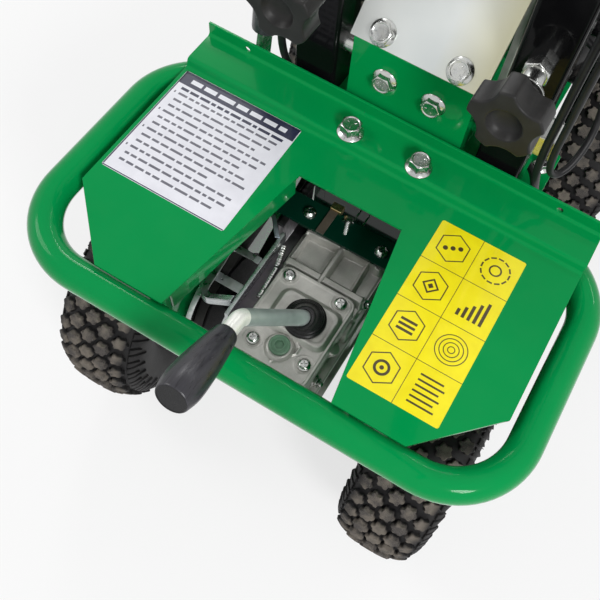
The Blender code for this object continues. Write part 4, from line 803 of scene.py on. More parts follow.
green = green_paint()
black = black_paint()
# Deep green paint, darkened further as painted shade, for the gearbox bracket and the cross plate.
deep_green_and_painted_shade = green_paint("deep_green_paint_and_painted_shade", (0.0006, 0.022, 0.012), (0.0008, 0.032, 0.017))
zinc_plate = zinc()
zinc_bolt = zinc("zinc_bolt", (180.0, 180.0, 180.0), (0.42, 0.43, 0.42), (0.62, 0.62, 0.58), (0.50, 0.52, 0.53),
                 (0.20, 0.28))
rod_finish = plain_paint("galvanised_rod", (0.27, 0.32, 0.305), (0.42, 0.48, 0.46), (0.30, 0.42), 0.0, 0.35,
                         700.0, 0.2)
keeper_zinc = zinc("keeper_zinc", (120.0, 120.0, 260.0), (0.42, 0.45, 0.45), (0.60, 0.62, 0.60),
                   (0.30, 0.34, 0.36), (0.20, 0.40))
keeper_violet = zinc("keeper_violet_zinc", (90.0, 200.0, 90.0), (0.085, 0.075, 0.085), (0.15, 0.135, 0.14),
                     (0.10, 0.09, 0.11), (0.28, 0.45))
blue_zinc = zinc("blue_zinc", (90.0, 200.0, 90.0), (0.50, 0.56, 0.66), (0.66, 0.72, 0.80), (0.50, 0.56, 0.68),
                 (0.25, 0.4))
guard_zinc = zinc_sheet()
steel = machined_steel()
aluminium = cast_aluminium()
black_moulding = moulded_black()
boot_rubber = moulded_black("boot_rubber", (0.006, 0.006, 0.007), (0.014, 0.014, 0.015), (0.22, 0.36))
grip_finish = grip_moulding()
knob_finish = moulded_black("knob_moulding", (0.012, 0.0118, 0.0118), (0.024, 0.0236, 0.0232), (0.36, 0.50))
tyre_finish = tyre_rubber()
belt_finish = moulded_black("belt_rubber", (0.010, 0.010, 0.010), (0.026, 0.025, 0.024), (0.55, 0.8))
rim_finish = plain_paint("silver_rim_paint", (0.40, 0.40, 0.40), (0.52, 0.52, 0.51), (0.30, 0.42), 0.2, 0.5)
plug_finish = plain_paint("plug_paint", (0.075, 0.155, 0.095), (0.12, 0.21, 0.14), (0.35, 0.5))
tank_finish = plain_paint("tank_paint", (0.010, 0.010, 0.011), (0.018, 0.018, 0.020), (0.14, 0.24), 0.6)
label_white = plain_paint("label_white", (0.74, 0.74, 0.80), (0.82, 0.82, 0.88), (0.28, 0.38), 0.3)
label_navy = plain_paint("label_navy", (0.010, 0.012, 0.040), (0.016, 0.018, 0.055), (0.28, 0.38), 0.3)
label_grey = plain_paint("label_grey", (0.10, 0.10, 0.13), (0.15, 0.15, 0.18), (0.28, 0.38), 0.3)
label_yellow = plain_paint("label_yellow", (0.86, 0.73, 0.0), (0.94, 0.82, 0.004), (0.28, 0.38), 0.3)
label_brown = plain_paint("label_brown", (0.045, 0.030, 0.008), (0.065, 0.045, 0.012), (0.28, 0.38), 0.3)
pulley_finish = plain_paint("pulley_black", (0.006, 0.006, 0.0066), (0.012, 0.012, 0.0128), (0.5, 0.7),
                            specular=0.05)
brown_strap = plain_paint("brown_strap", (0.060, 0.048, 0.036), (0.10, 0.082, 0.062), (0.4, 0.55))
brass = plain_paint("brass_nut", (0.62, 0.47, 0.22), (0.76, 0.60, 0.30), (0.25, 0.40), 0.0, 1.0)
yellow_zinc = plain_paint("yellow_zinc", (0.86, 0.87, 0.80), (0.93, 0.94, 0.89), (0.26, 0.36), 0.2, 0.25)
exhaust = plain_paint("exhaust_steel", (0.20, 0.185, 0.17), (0.34, 0.32, 0.30), (0.40, 0.58), 0.0, 0.9)


# Fasteners

def hex_ring(across):
    """The radius of a hexagon at each angle, from its size across the flats."""
    def radius(a):
        step = math.pi / 3
        return across / 2 / math.cos((a + step / 2) % step - step / 2)
    return radius


def hex_head(shape, place, across, low, high, finish=0, dish=0.0006):
    """A hexagon head or nut whose upper corners are turned off."""
    wide = hex_ring(across)
    flat = across / 2 * 0.95
    drop = 0.42

    def turned_off(a):
        return high - (wide(a) - flat) * drop - 0.0002
    rings = [(0, low), (wide, low), (wide, turned_off), (flat, high), (flat * 0.90, high),
             (flat * 0.82, high - dish * 0.8), (flat * 0.45, high - dish), (0, high - dish)]
    shape.spun(rings, place, 48, finish)


def flange_bolt(shape, seat, axis, across, height, flange, turn=0.2):
    """A flanged hexagon bolt that covers the plain one in the frame."""
    place = facing(seat, axis, turn)
    shape.spun([(0, -0.0004), (flange, -0.0004), (flange + 0.0001, 0.0006), (flange - 0.0005, 0.0014),
                (across / 2 + 0.0016, 0.0026), (across / 2 + 0.0002, 0.0036), (0, 0.0036)], place, 48)
    hex_head(shape, place, across, 0.0020, height + 0.0004, dish=0.0010)
    for a in angles(3, 0.5):
        mark = place @ Matrix.Rotation(a, 4, "Z")
        shape.block((across * 0.16, -0.0004, height - 0.0012), (across * 0.30, 0.0004, height - 0.0002), mark)


def bolt_piece(name, seats):
    shape = Shape()
    for seat in seats:
        flange_bolt(shape, *seat)
    done(shape, name, [zinc_bolt], edge=0.00025)


def cross_screw(shape, seat, radius, height):
    """A dome-headed screw with a cross recess."""
    def recess(a):
        return 0.0011 + 0.0022 * abs(math.cos(2 * a)) ** 5

    def deep(a):
        return 0.0010 + 0.0016 * abs(math.cos(2 * a)) ** 5
    shape.spun([(0, -0.0004), (radius + 0.0001, -0.0004), (radius, 0.0010), (radius * 0.93, 0.0022),
                (radius * 0.80, 0.0034), (radius * 0.60, height - 0.0004), (0.0036, height),
                (recess, height - 0.0001), (deep, height - 0.0021), (0, height - 0.0025)],
               facing(seat, (0, 0, 1), 0.6), 40)


def rise(distance, blend):
    """Goes smoothly from 1 inside a form to 0 outside it."""
    t = min(1.0, max(0.0, 0.5 - distance / blend))
    return t * t * (3 - 2 * t)


def from_box(x, y, low_x, low_y, high_x, high_y, radius):
    """The distance from the edge of a box with rounded corners."""
    across = abs(x - (low_x + high_x) / 2) - (high_x - low_x) / 2 + radius
    along = abs(y - (low_y + high_y) / 2) - (high_y - low_y) / 2 + radius
    return math.hypot(max(across, 0), max(along, 0)) + min(max(across, along), 0) - radius


def from_line(x, y, points):
    """The distance from a run of straight lines."""
    at = Vector((x, y))
    nearest = 1.0
    for start, stop in zip(points, points[1:]):
        start = Vector(start)
        run = Vector(stop) - start
        t = min(1.0, max(0.0, (at - start).dot(run) / run.length_squared))
        nearest = min(nearest, (at - start - run * t).length)
    return nearest


def cast_skin(shape, low_x, low_y, high_x, high_y, level, height, step=0.0008):
    """A soft casting surface over a box, whose height is given at each point."""
    across = int((high_x - low_x) / step) + 1
    along = int((high_y - low_y) / step) + 1
    rows = []
    for j in range(along + 1):
        y = low_y + (high_y - low_y) * j / along
        row = []
        for i in range(across + 1):
            x = low_x + (high_x - low_x) * i / across
            border = i in (0, across) or j in (0, along)
            row.append(shape.mesh.verts.new((x, y, level + (-0.0006 if border else height(x, y)))))
        rows.append(row)
    shape.faces(rows, 0, wrap=False)


# Chassis cover, guard tube and labels

notch_slope = (notch_rear_half - notch_front_half) / (notch_front_y - cover_rear_y)


def cover_plate():
    """The folded rear cover: plate, riser, shelf and flange, with its notch cut out; its skirts come from
    notch_skirts().
    """
    under = cover_top - cover_gauge
    shelf = cover_top + shelf_rise
    thick = cover_gauge
    flange_top = shelf + flange_rise
    inner = riser_y + riser_lean - thick * 0.8
    section = rounded([(cover_rear_y, under), (riser_y, under), (riser_y + riser_lean, under + shelf_rise),
                       (flange_y, under + shelf_rise), (flange_y, flange_top), (flange_y - thick, flange_top),
                       (flange_y - thick, shelf), (inner, shelf), (riser_y - thick * 0.8, cover_top),
                       (cover_rear_y, cover_top)],
                      [0, 0.0045, 0.0035, 0.0035, 0.0006, 0.0006, 0.0035, 0.0045, 0.0040, 0], 5)
    body = Shape()
    rows = [[body.mesh.verts.new((side * cover_half, p.x, p.y)) for p in section] for side in (-1, 1)]
    body.faces(rows, 0)
    body.cap(rows[0][::-1], 0)
    body.cap(rows[1], 0)
    plate = done(body, "cover_plate", [green], ["rear_cover"])
    reach = 0.02
    far = cover_rear_y - reach
    far_half = notch_rear_half + notch_slope * reach
    cutter = Shape()
    cutter.pad([(-notch_front_half, notch_front_y), (-far_half, far), (far_half, far),
                (notch_front_half, notch_front_y)], under - 0.01, cover_top + 0.01)
    for side in (-1, 1):
        cutter.pad([(side * (cover_half + 0.01), cover_chamfer_y + 0.0103),
                    (side * cover_chamfer_half, cover_rear_y), (side * cover_chamfer_half, far),
                    (side * (cover_half + 0.01), far)], under - 0.01, cover_top + 0.01)
        cutter.drum(0.0033, -0.01, 0.01, facing((side * end_hole_x, flange_y, end_hole_z), (0, 1, 0)), 24)
    cut_out(plate, cutter, 0.0005)


def notch_skirts():
    shape = Shape()
    under = cover_top - cover_gauge
    rear_y, front_y = cover_rear_y + 0.012, notch_front_y - 0.004
    corners = ((rear_y, 0), (front_y, 0), (front_y, 0.003), (rear_y, 0.003))
    for side in (-1, 1):
        loop = [(side * (notch_rear_half - notch_slope * (y - cover_rear_y) + 0.0005 + out), y)
                for y, out in corners]
        shape.pad(loop, under - notch_skirt_depth, under + 0.0008)
    done(shape, "notch_skirts", [green], edge=0.0005, segments=2)


def guard_tube():
    z = cover_top - cover_gauge - gap - guard_radius
    end = frame_half + gap
    route = bent([(-end, guard_front_y, z), (-guard_half, guard_front_y, z), (-guard_half, guard_rear_y, z),
                  (guard_half, guard_rear_y, z), (guard_half, guard_front_y, z), (end, guard_front_y, z)],
                 guard_bend, 18)
    shape = Shape().tube(route, guard_radius, 48)
    for side in (-1, 1):
        weld_bead(shape, facing((side * (end + 0.0018), guard_front_y, z), (side, 0, 0)), guard_radius - 0.0012,
                  0.0022)
    done(shape, "guard_tube", [green], ["rear_guard_tube"])


def weld_bead(shape, place, radius, size, lumps=34):
    """A ring of weld with overlapping ripples."""
    ring = []
    for a in angles(lumps * 4):
        swell = size * (1.0 + 0.22 * abs(math.sin(lumps * a / 2)))
        at = Vector((radius * math.cos(a), radius * math.sin(a), 0))
        out = at.normalized()
        ring.append([shape.mesh.verts.new(place @ (at + out * swell * math.cos(b)
                                                   + Vector((0, 0, swell * 0.8 * math.sin(b)))))
                     for b in angles(8)])
    shape.faces(ring + [ring[0]], 0)


def weld_run(shape, start, stop, size, seed):
    """A straight run of weld on a level plate, uneven along its length."""
    draw = random.Random(seed)
    start = Vector(start)
    stop = Vector(stop)
    along = (stop - start).normalized()
    side = along.cross(Vector((0, 0, 1))).normalized()
    up = side.cross(along).normalized()
    count = int((stop - start).length / 0.0009)
    rows = []
    for k in range(count + 1):
        fade = 0.35 if k in (0, count) else 1.0
        swell = size * fade * (0.80 + 0.35 * abs(math.sin(k * 1.15)) + 0.18 * draw.random())
        at = start.lerp(stop, k / count)
        rows.append([shape.mesh.verts.new(at + side * swell * math.cos(b) + up * swell * 0.8 * math.sin(b))
                     for b in angles(8)])
    shape.faces(rows, 1)
    shape.cap(rows[0][::-1], 1)
    shape.cap(rows[-1], 1)


label_lift = 0.00022
ink_lift = 0.00005
ink_top = cover_top + label_lift + ink_lift


def label_sheet(low_x, low_y, high_x, high_y):
    """A label without its print, laid on the cover plate."""
    outline = soft_box(low_x, low_y, high_x, high_y, 0.002, 3)
    return Shape().pad(outline, cover_top - 0.0001, cover_top + label_lift)


def bar(shape, low_x, low_y, high_x, high_y, finish=1, top=ink_top):
    """A flat printed bar that lies on a label."""
    shape.pad(box_outline(low_x, low_y, high_x, high_y), top - ink_lift, top, here, finish)


def dash(shape, start, stop, width):
    """A printed dash at any slant."""
    along = (stop - start).normalized() * width / 2
    side = Vector((-along.y, along.x))
    shape.pad([stop + along + side, stop + along - side, start - along - side, start - along + side],
              ink_top - ink_lift, ink_top, here, 1)


def ring(shape, x, y, outer, inner, steps=32, turn=0.0):
    """A flat printed ring, or a many-sided frame where the steps are few."""
    rows = []
    for radius, height in ((inner, ink_top - ink_lift), (outer, ink_top - ink_lift), (outer, ink_top),
                           (inner, ink_top)):
        rows.append([shape.mesh.verts.new((x + radius * math.cos(a), y + radius * math.sin(a), height))
                     for a in angles(steps, turn)])
    shape.faces(rows + [rows[0]], 1)


def disc(shape, x, y, radius, steps=24):
    outline = [(x + radius * math.cos(a), y + radius * math.sin(a)) for a in angles(steps)]
    shape.pad(outline, ink_top - ink_lift, ink_top, here, 1)


def white_label():
    """A plain white panel with a navy edge and title band, a bold row and rows of grey bars."""
    low_x, high_x, low_y, high_y = -0.2145, -0.0805, -0.0675, 0.0695
    shape = label_sheet(low_x, low_y, high_x, high_y)
    bar(shape, low_x + 0.0005, high_y - 0.0024, high_x - 0.0005, high_y - 0.0003)
    bar(shape, low_x + 0.0003, low_y + 0.0020, low_x + 0.0016, high_y - 0.0004)
    draw = random.Random(11)

    def row(y, half, start, stop, least, most, space, finish, top=ink_top):
        x = start
        while x < stop - least:
            width = draw.uniform(least, most)
            bar(shape, x, y - half, min(x + width, stop), y + half, finish, top)
            x += width + space
    bar(shape, low_x + 0.0005, low_y + 0.0005, high_x - 0.0005, low_y + 0.0016)
    bar(shape, low_x + 0.0008, high_y - 0.0165, high_x - 0.0008, high_y - 0.0020)
    row(high_y - 0.0092, 0.0026, low_x + 0.0120, high_x - 0.0120, 0.007, 0.019, 0.0030, 0, ink_top + ink_lift)
    row(high_y - 0.0215, 0.0016, low_x + 0.0080, high_x - 0.0080, 0.004, 0.013, 0.0020, 1)
    rows = 12
    first = high_y - 0.0285
    step = (first - low_y - 0.006) / rows
    for k in range(rows):
        y = first - step * k
        if k % 3 == 0:
            bar(shape, low_x + 0.0045, y - 0.0013, low_x + 0.0060, y + 0.0013, 2)
        stop = high_x - 0.006 - (draw.uniform(0.010, 0.045) if k % 3 == 2 else draw.uniform(0, 0.008))
        row(y, 0.0013, low_x + 0.0095, stop, 0.004, 0.014, 0.0022, 2)
    done(shape, "white_label", [label_white, label_navy, label_grey], smooth=False)


def yellow_label():
    """A yellow panel ruled into eight cells, with plain geometric marks."""
    low_x, high_x, low_y, high_y = 0.0830, 0.1700, -0.1290, 0.0550
    shape = label_sheet(low_x, low_y, high_x, high_y)
    middle = (low_x + high_x) / 2
    rows = 4
    step = (high_y - low_y) / rows
    half_rule = 0.0003
    bar(shape, middle - half_rule, low_y, middle + half_rule, high_y)
    for k in range(1, rows):
        bar(shape, low_x, low_y + step * k - half_rule, high_x, low_y + step * k + half_rule)
    left = (low_x + middle) / 2
    right = (middle + high_x) / 2
    levels = [low_y + step * (k + 0.5) for k in range(rows)]
    for y in levels:
        ring(shape, left, y, 0.0165, 0.0152, 6, math.pi / 6)
    y = levels[0]
    ring(shape, left, y, 0.0075, 0.0050)
    disc(shape, left, y, 0.0020)
    for j in range(6):
        bar(shape, right - 0.0125, y - 0.0150 + 0.0054 * j, right + 0.0125 - 0.0030 * (j % 2),
            y - 0.0132 + 0.0054 * j)
    y = levels[1]
    for j in range(3):
        bar(shape, left - 0.0080, y - 0.0066 + 0.0050 * j, left + 0.0080, y - 0.0040 + 0.0050 * j)
    for j in range(4):
        ring(shape, right, y, 0.0150 - 0.0038 * j, 0.0141 - 0.0038 * j, 40)
    y = levels[2]
    ring(shape, left, y, 0.0085, 0.0062, 4)
    disc(shape, left, y, 0.0030, 4)
    for j in range(5):
        bar(shape, right - 0.0130 + 0.0056 * j, y - 0.0130, right - 0.0100 + 0.0056 * j,
            y - 0.0060 + 0.0046 * j)
    y = levels[3]
    for j in range(3):
        disc(shape, left - 0.0065 + 0.0065 * j, y - 0.0030 + 0.0030 * j, 0.0024)
    circle = 0.0135
    for a in angles(12):
        at = Vector((right + circle * math.cos(a), y + circle * math.sin(a)))
        toward = Vector((-math.sin(a), math.cos(a))) * 0.0018
        dash(shape, at - toward, at + toward, 0.0016)
    ring(shape, right, y, 0.0062, 0.0046, 24)
    done(shape, "yellow_label", [label_yellow, label_brown], smooth=False)


def chassis_bolts():
    """Each bolt's seat and axis, then its size across the flats, height, flange radius and turn."""
    shelf = cover_top + shelf_rise
    lift = 0.00005
    bolt_piece("shelf_bolts", [((side * shelf_bolt_x, shelf_bolt_y, shelf), (0, 0, 1), 0.0190, 0.0122, 0.0134)
                               for side in (-1, 1)])
    bolt_piece("face_bolts",
               [((side * face_bolt_x, tower_y - lift, face_bolt_z), (0, -1, 0), 0.0180, 0.0082, 0.0126, 0.5)
                for side in (-1, 1)])
    slope_at = Vector((0, 0.1287, 0.4294)) + Vector((0, -1, 1)).normalized() * lift
    bolt_piece("plate_bolts",
               [((side * plate_bolt_x, slope_at.y, slope_at.z), (0, -1, 1), 0.0180, 0.0082, 0.0126, 0.7)
                for side in (-1, 1)])


# Posts, clamps and handlebar

def post(side, word):
    half = post_width / 2
    x = side * post_x
    shape = Shape()
    outer = soft_box(x - half, post_y - half, x + half, post_y + half, 0.0045, 5)
    wall = 0.0035
    inner = soft_box(x - half + wall, post_y - half + wall, x + half - wall, post_y + half - wall, 0.0025, 5)
    rim = 0.0006
    loops = [[(p.x, p.y, post_bottom) for p in outer], [(p.x, p.y, post_top - rim) for p in outer],
             [(p.x, p.y, post_top) for p in inset(outer, rim)],
             [(p.x, p.y, post_top) for p in inset(inner, -rim)], [(p.x, p.y, post_top - rim) for p in inner],
             [(p.x, p.y, post_top - 0.010) for p in inner]]
    shape.loft(loops)
    done(shape, "square_post_" + word, [black], ["handle_post_" + word])
    hardware = Shape()
    rear = post_y - half
    stack = facing((x, rear, clamp_z), (0, -1, 0))
    hex_head(hardware, stack, 0.0217, -0.001, 0.0110)
    hardware.spun(mm((0, 10), (9.5, 10), (9.5, 30.5), (8.8, 31.2), (0, 31.2)), stack, 36)
    hardware.spun([(0, 0.0310), (0.0160, 0.0310), (0.0166, 0.0315), (0.0166, clamp_stack - 0.0004),
                   (0.0160, clamp_stack), (0, clamp_stack)], stack, 40)
    through = facing((x, post_y, post_bolt_z), (side, 0, 0), 0.35)
    hardware.spun([(0, half - 0.001), (0.0212, half - 0.001), (0.0212, half + 0.0012), (0.0206, half + 0.0018),
                   (0, half + 0.0018)], through, 40)
    hex_head(hardware, through, 0.0346, half + 0.0016, half + 0.0198)
    hardware.spun([(0, half), (0.0080, half), (0.0080, half + 0.0210), (0.0070, half + 0.0220),
                   (0, half + 0.0220)], through, 24)
    inward = facing((x, post_y, post_bolt_z), (-side, 0, 0))
    face = post_x - tower_half
    hardware.drum(0.0120, half - 0.001, face - 0.0003, inward, 32)
    hex_head(hardware, inward, 0.0243, face + tower_gauge + 0.0003, face + tower_gauge + 0.0100)
    done(hardware, "post_hardware_" + word, [zinc_bolt], edge=0.0003)


def clamp_knob(side, word):
    """A star knob with five deep scallops and a dished face, on its threaded stud."""
    x = side * post_x
    back = post_y - post_width / 2 - clamp_stack - gap
    face = knob_face_y
    depth = back - face
    place = Matrix(((1, 0, 0, x), (0, 0, 1, face), (0, 1, 0, clamp_z), (0, 0, 0, 1)))
    lobes = 5
    scallop = 0.0200
    scallop_at = 0.0446
    first = math.radians(66)

    def lobed(drawn):
        outer = knob_reach - drawn
        bite = scallop + drawn

        def radius(a):
            turn = (a - first) % (2 * math.pi / lobes)
            off = min(turn, 2 * math.pi / lobes - turn)
            reach = scallop_at * math.sin(off)
            if reach >= bite:
                return outer
            near = scallop_at * math.cos(off) - math.sqrt(bite * bite - reach * reach)
            sharp = 0.0012
            return min(near, outer) - sharp * math.exp(-abs(near - outer) / sharp) * 0.35
        return radius
    thick = 0.0262
    soft = 0.0020
    rings = mm((0, 8), (7, 7.9), (10.5, 7), (12.8, 5), (14.3, 2.2), (15.2, 0.5), (16.5, 0))
    for k in range(6):
        a = math.pi / 2 * k / 5
        rings.append((lobed(soft * (1 - math.sin(a))), soft * (1 - math.cos(a))))
    rings.append((lobed(0.0), thick * 0.5))
    for k in range(6):
        a = math.pi / 2 * k / 5
        rings.append((lobed(soft * (1 - math.cos(a))), thick - soft + soft * math.sin(a)))
    rings += [(0.0188, thick + 0.0003), (0.0178, thick + 0.0022), (0.0150, depth - 0.0010), (0.0140, depth),
              (0, depth)]
    shape = Shape().spun(rings, place, 200)
    bore = post_y - bar_radius - 0.004 - back
    stud = [(0, depth - 0.001)]
    pitch = 0.00125
    turns = int((bore + 0.001) / pitch)
    for k in range(turns):
        h = depth + pitch * k
        stud += [(0.0059, h), (0.0053, h + pitch * 0.5)]
    stud += [(0.0050, depth + bore), (0, depth + bore)]
    shape.spun(stud, place, 24, 1)
    knob = "clamp_knob_" + word
    done(shape, "star_knob_" + word, [knob_finish, zinc_bolt], [knob], knob)


def bar_point(side, y):
    """The middle of the handlebar's rear end at a place along it."""
    fall = (bar_end_z - bar_bend_z) / (bar_bend_y - bar_rear_y)
    return Vector((side * bar_spread, y, bar_end_z - fall * (y - bar_rear_y)))


def handlebar():
    shape = Shape()
    for side in (-1, 1):
        route = bent([(side * post_x, post_y, post_top - 0.078), (side * post_x, post_y, 0.720),
                      (side * 0.150, 0.000, 0.865), (side * bar_spread, bar_bend_y, bar_bend_z),
                      (side * bar_spread, bar_rear_y + 0.004, bar_end_z)], 0.075, 12)
        shape.tube(route, bar_radius, 32)
        pin = lever_pin(side)
        start = bar_point(side, lever_clamp_y)
        stop = bar_point(side, lever_clamp_end)
        along = stop - start
        shape.spun([(0.0144, 0), (0.0193, 0), (0.0200, 0.0008), (0.0200, along.length - 0.0008),
                    (0.0193, along.length), (0.0144, along.length)], facing(start, along), 36, closed=True)
        profile = rounded([(start.y + 0.001, pin.z - 0.022), (stop.y - 0.001, pin.z - 0.022),
                           (stop.y - 0.001, pin.z + 0.008), (start.y + 0.001, pin.z + 0.008)],
                          [0, 0, 0.006, 0.006], 5)
        shape.pad(profile, pin.x - 0.004, pin.x + 0.004, on_flank)
    shape.tube(mm((-152, -10, 866), (-50, -10, 866), (50, -10, 866), (152, -10, 866)), 0.011, 28)
    for side in (-1, 1):
        weld_bead(shape, facing((side * 0.1405, -0.010, 0.866), (side, 0, 0)), 0.0112, 0.0016, 24)
    start = bar_point(1, throttle_y - 0.010)
    stop = bar_point(1, throttle_y + 0.010)
    along = stop - start
    shape.spun([(0.0144, 0), (0.0183, 0), (0.0190, 0.0008), (0.0190, along.length - 0.0008),
                (0.0183, along.length), (0.0144, along.length)], facing(start, along), 36, closed=True)
    shape.block((start.x - throttle_reach, start.y + 0.0005, start.z + 0.013),
                (start.x - 0.001, stop.y - 0.0005, start.z + 0.033))
    done(shape, "handlebar_tube", [black], ["handlebar"], edge=0.0004)


def lever_pin(side):
    return bar_point(side, (lever_clamp_y + lever_clamp_end) / 2) + Vector((0, 0, 0.036))


def hand_grip(side, word):
    """A ribbed rubber grip with a collar at its inner end."""
    start = bar_point(side, bar_rear_y + grip_length)
    stop = bar_point(side, bar_rear_y)
    length = (stop - start).length
    rings = mm((15.2, 0), (22.2, 0), (23, 1), (23, 4.8), (22.2, 5.8), (18.6, 6.6))
    ribs = 22
    first = 0.0120
    step = (length - first - 0.014) / ribs
    for k in range(ribs):
        h = first + step * k
        rings += [(0.0176, h), (0.0190, h + step * 0.25), (0.0190, h + step * 0.70), (0.0176, h + step * 0.95)]
    rings += [(0.0188, length - 0.012), (0.0190, length - 0.004), (0.0178, length - 0.001),
              (0.0160, length - 0.0002), (0, length)]
    shape = Shape().spun(rings, facing(start, stop - start), 40)
    done(shape, "hand_grip_" + word, [black_moulding], ["grip_" + word])


def thicken(obj, gauge, offset):
    wall = obj.modifiers.new("wall", "SOLIDIFY")
    wall.thickness = gauge
    wall.offset = offset


def fuel_tank():
    """A pressed tank with a rounded top, a seam and a filler neck, cut out below for the fan housing."""
    fan_room = 0.1195
    low, seam, high = 0.4667, 0.5290, 0.5647
    outline = soft_box(-0.0440, 0.2640, 0.1760, 0.4400, 0.026, 8)
    shape = Shape()
    shape.pad(inset(outline, 0.0020), low, high, edge=0.0190, steps=8)
    tank = done(shape, "pressed_fuel_tank", [tank_finish], ["fuel_tank"])
    fan = facing((0.0705, fan_y, fan_z), (1, 0, 0))
    cut_out(tank, Shape().drum(fan_room, 0, 0.20, fan, 96), 0.0008)
    trim = Shape()
    trim.pad(outline, seam, seam + 0.0030, edge=0.0010)
    trim.spun(mm((0, 554), (31, 554), (29, 564.8), (26.2, 566), (24.6, 568), (24.2, 570.3), (0, 570.3)),
              facing((0.0660, 0.3500, 0), (0, 0, 1)), 48)
    done(trim, "tank_seam_and_neck", [tank_finish], edge=0.0004)


def fan_cowl():
    """The round fan housing with its bolts, and the slotted recoil cover over it."""
    place = facing((0.0703, fan_y, fan_z), (1, 0, 0))
    shape = Shape()
    shape.spun(mm((0, 0), (116, 0), (117.6, 0.8), (118, 2.4), (118, 30), (117, 36), (113.5, 43), (107.5, 50),
                  (99, 56), (91, 59.2), (87, 60), (0, 60)), place, 96)
    bolts = Shape()
    for turn in (-100, -38, 38, 100):
        a = math.radians(turn)
        seat = place @ Matrix.Translation((0.1020 * math.cos(a), 0.1020 * math.sin(a), 0))
        shape.drum(0.0105, 0.03, 0.056, seat, 32, top=0.01)
        bolts.drum(0.0078, 0.0555, 0.057, seat, 32)
        hex_head(bolts, seat, 0.0100, 0.0565, 0.0615)
    done(shape, "round_fan_housing", [black], ["fan_housing"], edge=0.0003)
    front = facing((0.1306, fan_y, fan_z), (1, 0, 0))
    rings = mm((82, 0), (82, 15), (81.2, 18.2), (79, 21.5), (75.5, 25), (71, 28.5), (64, 31.8), (56, 34.4),
               (47, 36.6), (42, 37.6), (40, 39.2), (38, 40), (30, 40), (28.5, 39), (0, 39))

    def slot(i, k):
        return 5 <= i < 8 and k % 9 in (2, 3, 4, 5)
    cover = Shape().spun(rings, front, 144, skip=slot)
    slotted = done(cover, "slotted_recoil_cover", [black_moulding], ["recoil_cover"])
    thicken(slotted, 0.0020, -1.0)
    for turn in (0, 118, -118):
        a = math.radians(turn)
        seat = front @ Matrix.Translation((0.0765 * math.cos(a), 0.0765 * math.sin(a), 0))
        bolts.drum(0.0058, 0.02, 0.0268, seat, 24)
        hex_head(bolts, seat, 0.0080, 0.0262, 0.0305)
    done(bolts, "cowl_bolts", [zinc_bolt], edge=0.0002)


def air_filter():
    """A filter box with a seam, two clips and a raised top panel, on its intake."""
    low_x, high_x, low_y, high_y = 0.0780, 0.1720, 0.4475, 0.5600
    outline = soft_box(low_x, low_y, high_x, high_y, 0.015, 6)
    shape = Shape()
    shape.pad(inset(outline, 0.0015), 0.4980, 0.5290)
    shape.pad(outline, 0.5296, 0.5840, edge=0.0130, steps=8)
    shape.pad(soft_box(low_x + 0.016, low_y + 0.016, high_x - 0.016, high_y - 0.016, 0.008, 5),
              0.5830, 0.5850, edge=0.0012)
    shape.pad(soft_box(0.0656, 0.4840, 0.1100, 0.5140, 0.006, 5), 0.4400, 0.5000)
    for y in (low_y + 0.030, high_y - 0.030):
        shape.pad(soft_box(high_x - 0.002, y - 0.006, high_x + 0.0035, y + 0.006, 0.0012, 3),
                  0.5190, 0.5420, edge=0.0012)
    done(shape, "air_filter_box", [black_moulding], ["air_filter"], edge=0.0007, segments=2)


def muffler_shield():
    """A pressed heat shield over the muffler, with three rows of slots."""
    shape = Shape()
    radius, middle_y, middle_z = 0.0450, 0.500, 0.5400
    columns, rows_round = 64, 30
    start, stop = math.radians(24), math.radians(154)
    near, far = -0.1120, 0.0450
    rows = []
    for i in range(rows_round + 1):
        a = start + (stop - start) * i / rows_round
        swell = radius + (0.0008 if i in (1, rows_round - 1) else 0)
        rows.append([shape.mesh.verts.new((near + (far - near) * k / columns, middle_y + swell * math.cos(a),
                                           middle_z + swell * math.sin(a))) for k in range(columns + 1)])

    def slot(i, k):
        return k % 8 in (3, 4) and i % 10 in (2, 3, 4, 5, 6, 7)
    shape.faces(rows, 0, wrap=False, skip=slot)
    thicken(done(shape, "muffler_heat_shield", [exhaust]), 0.0012, 0.0)


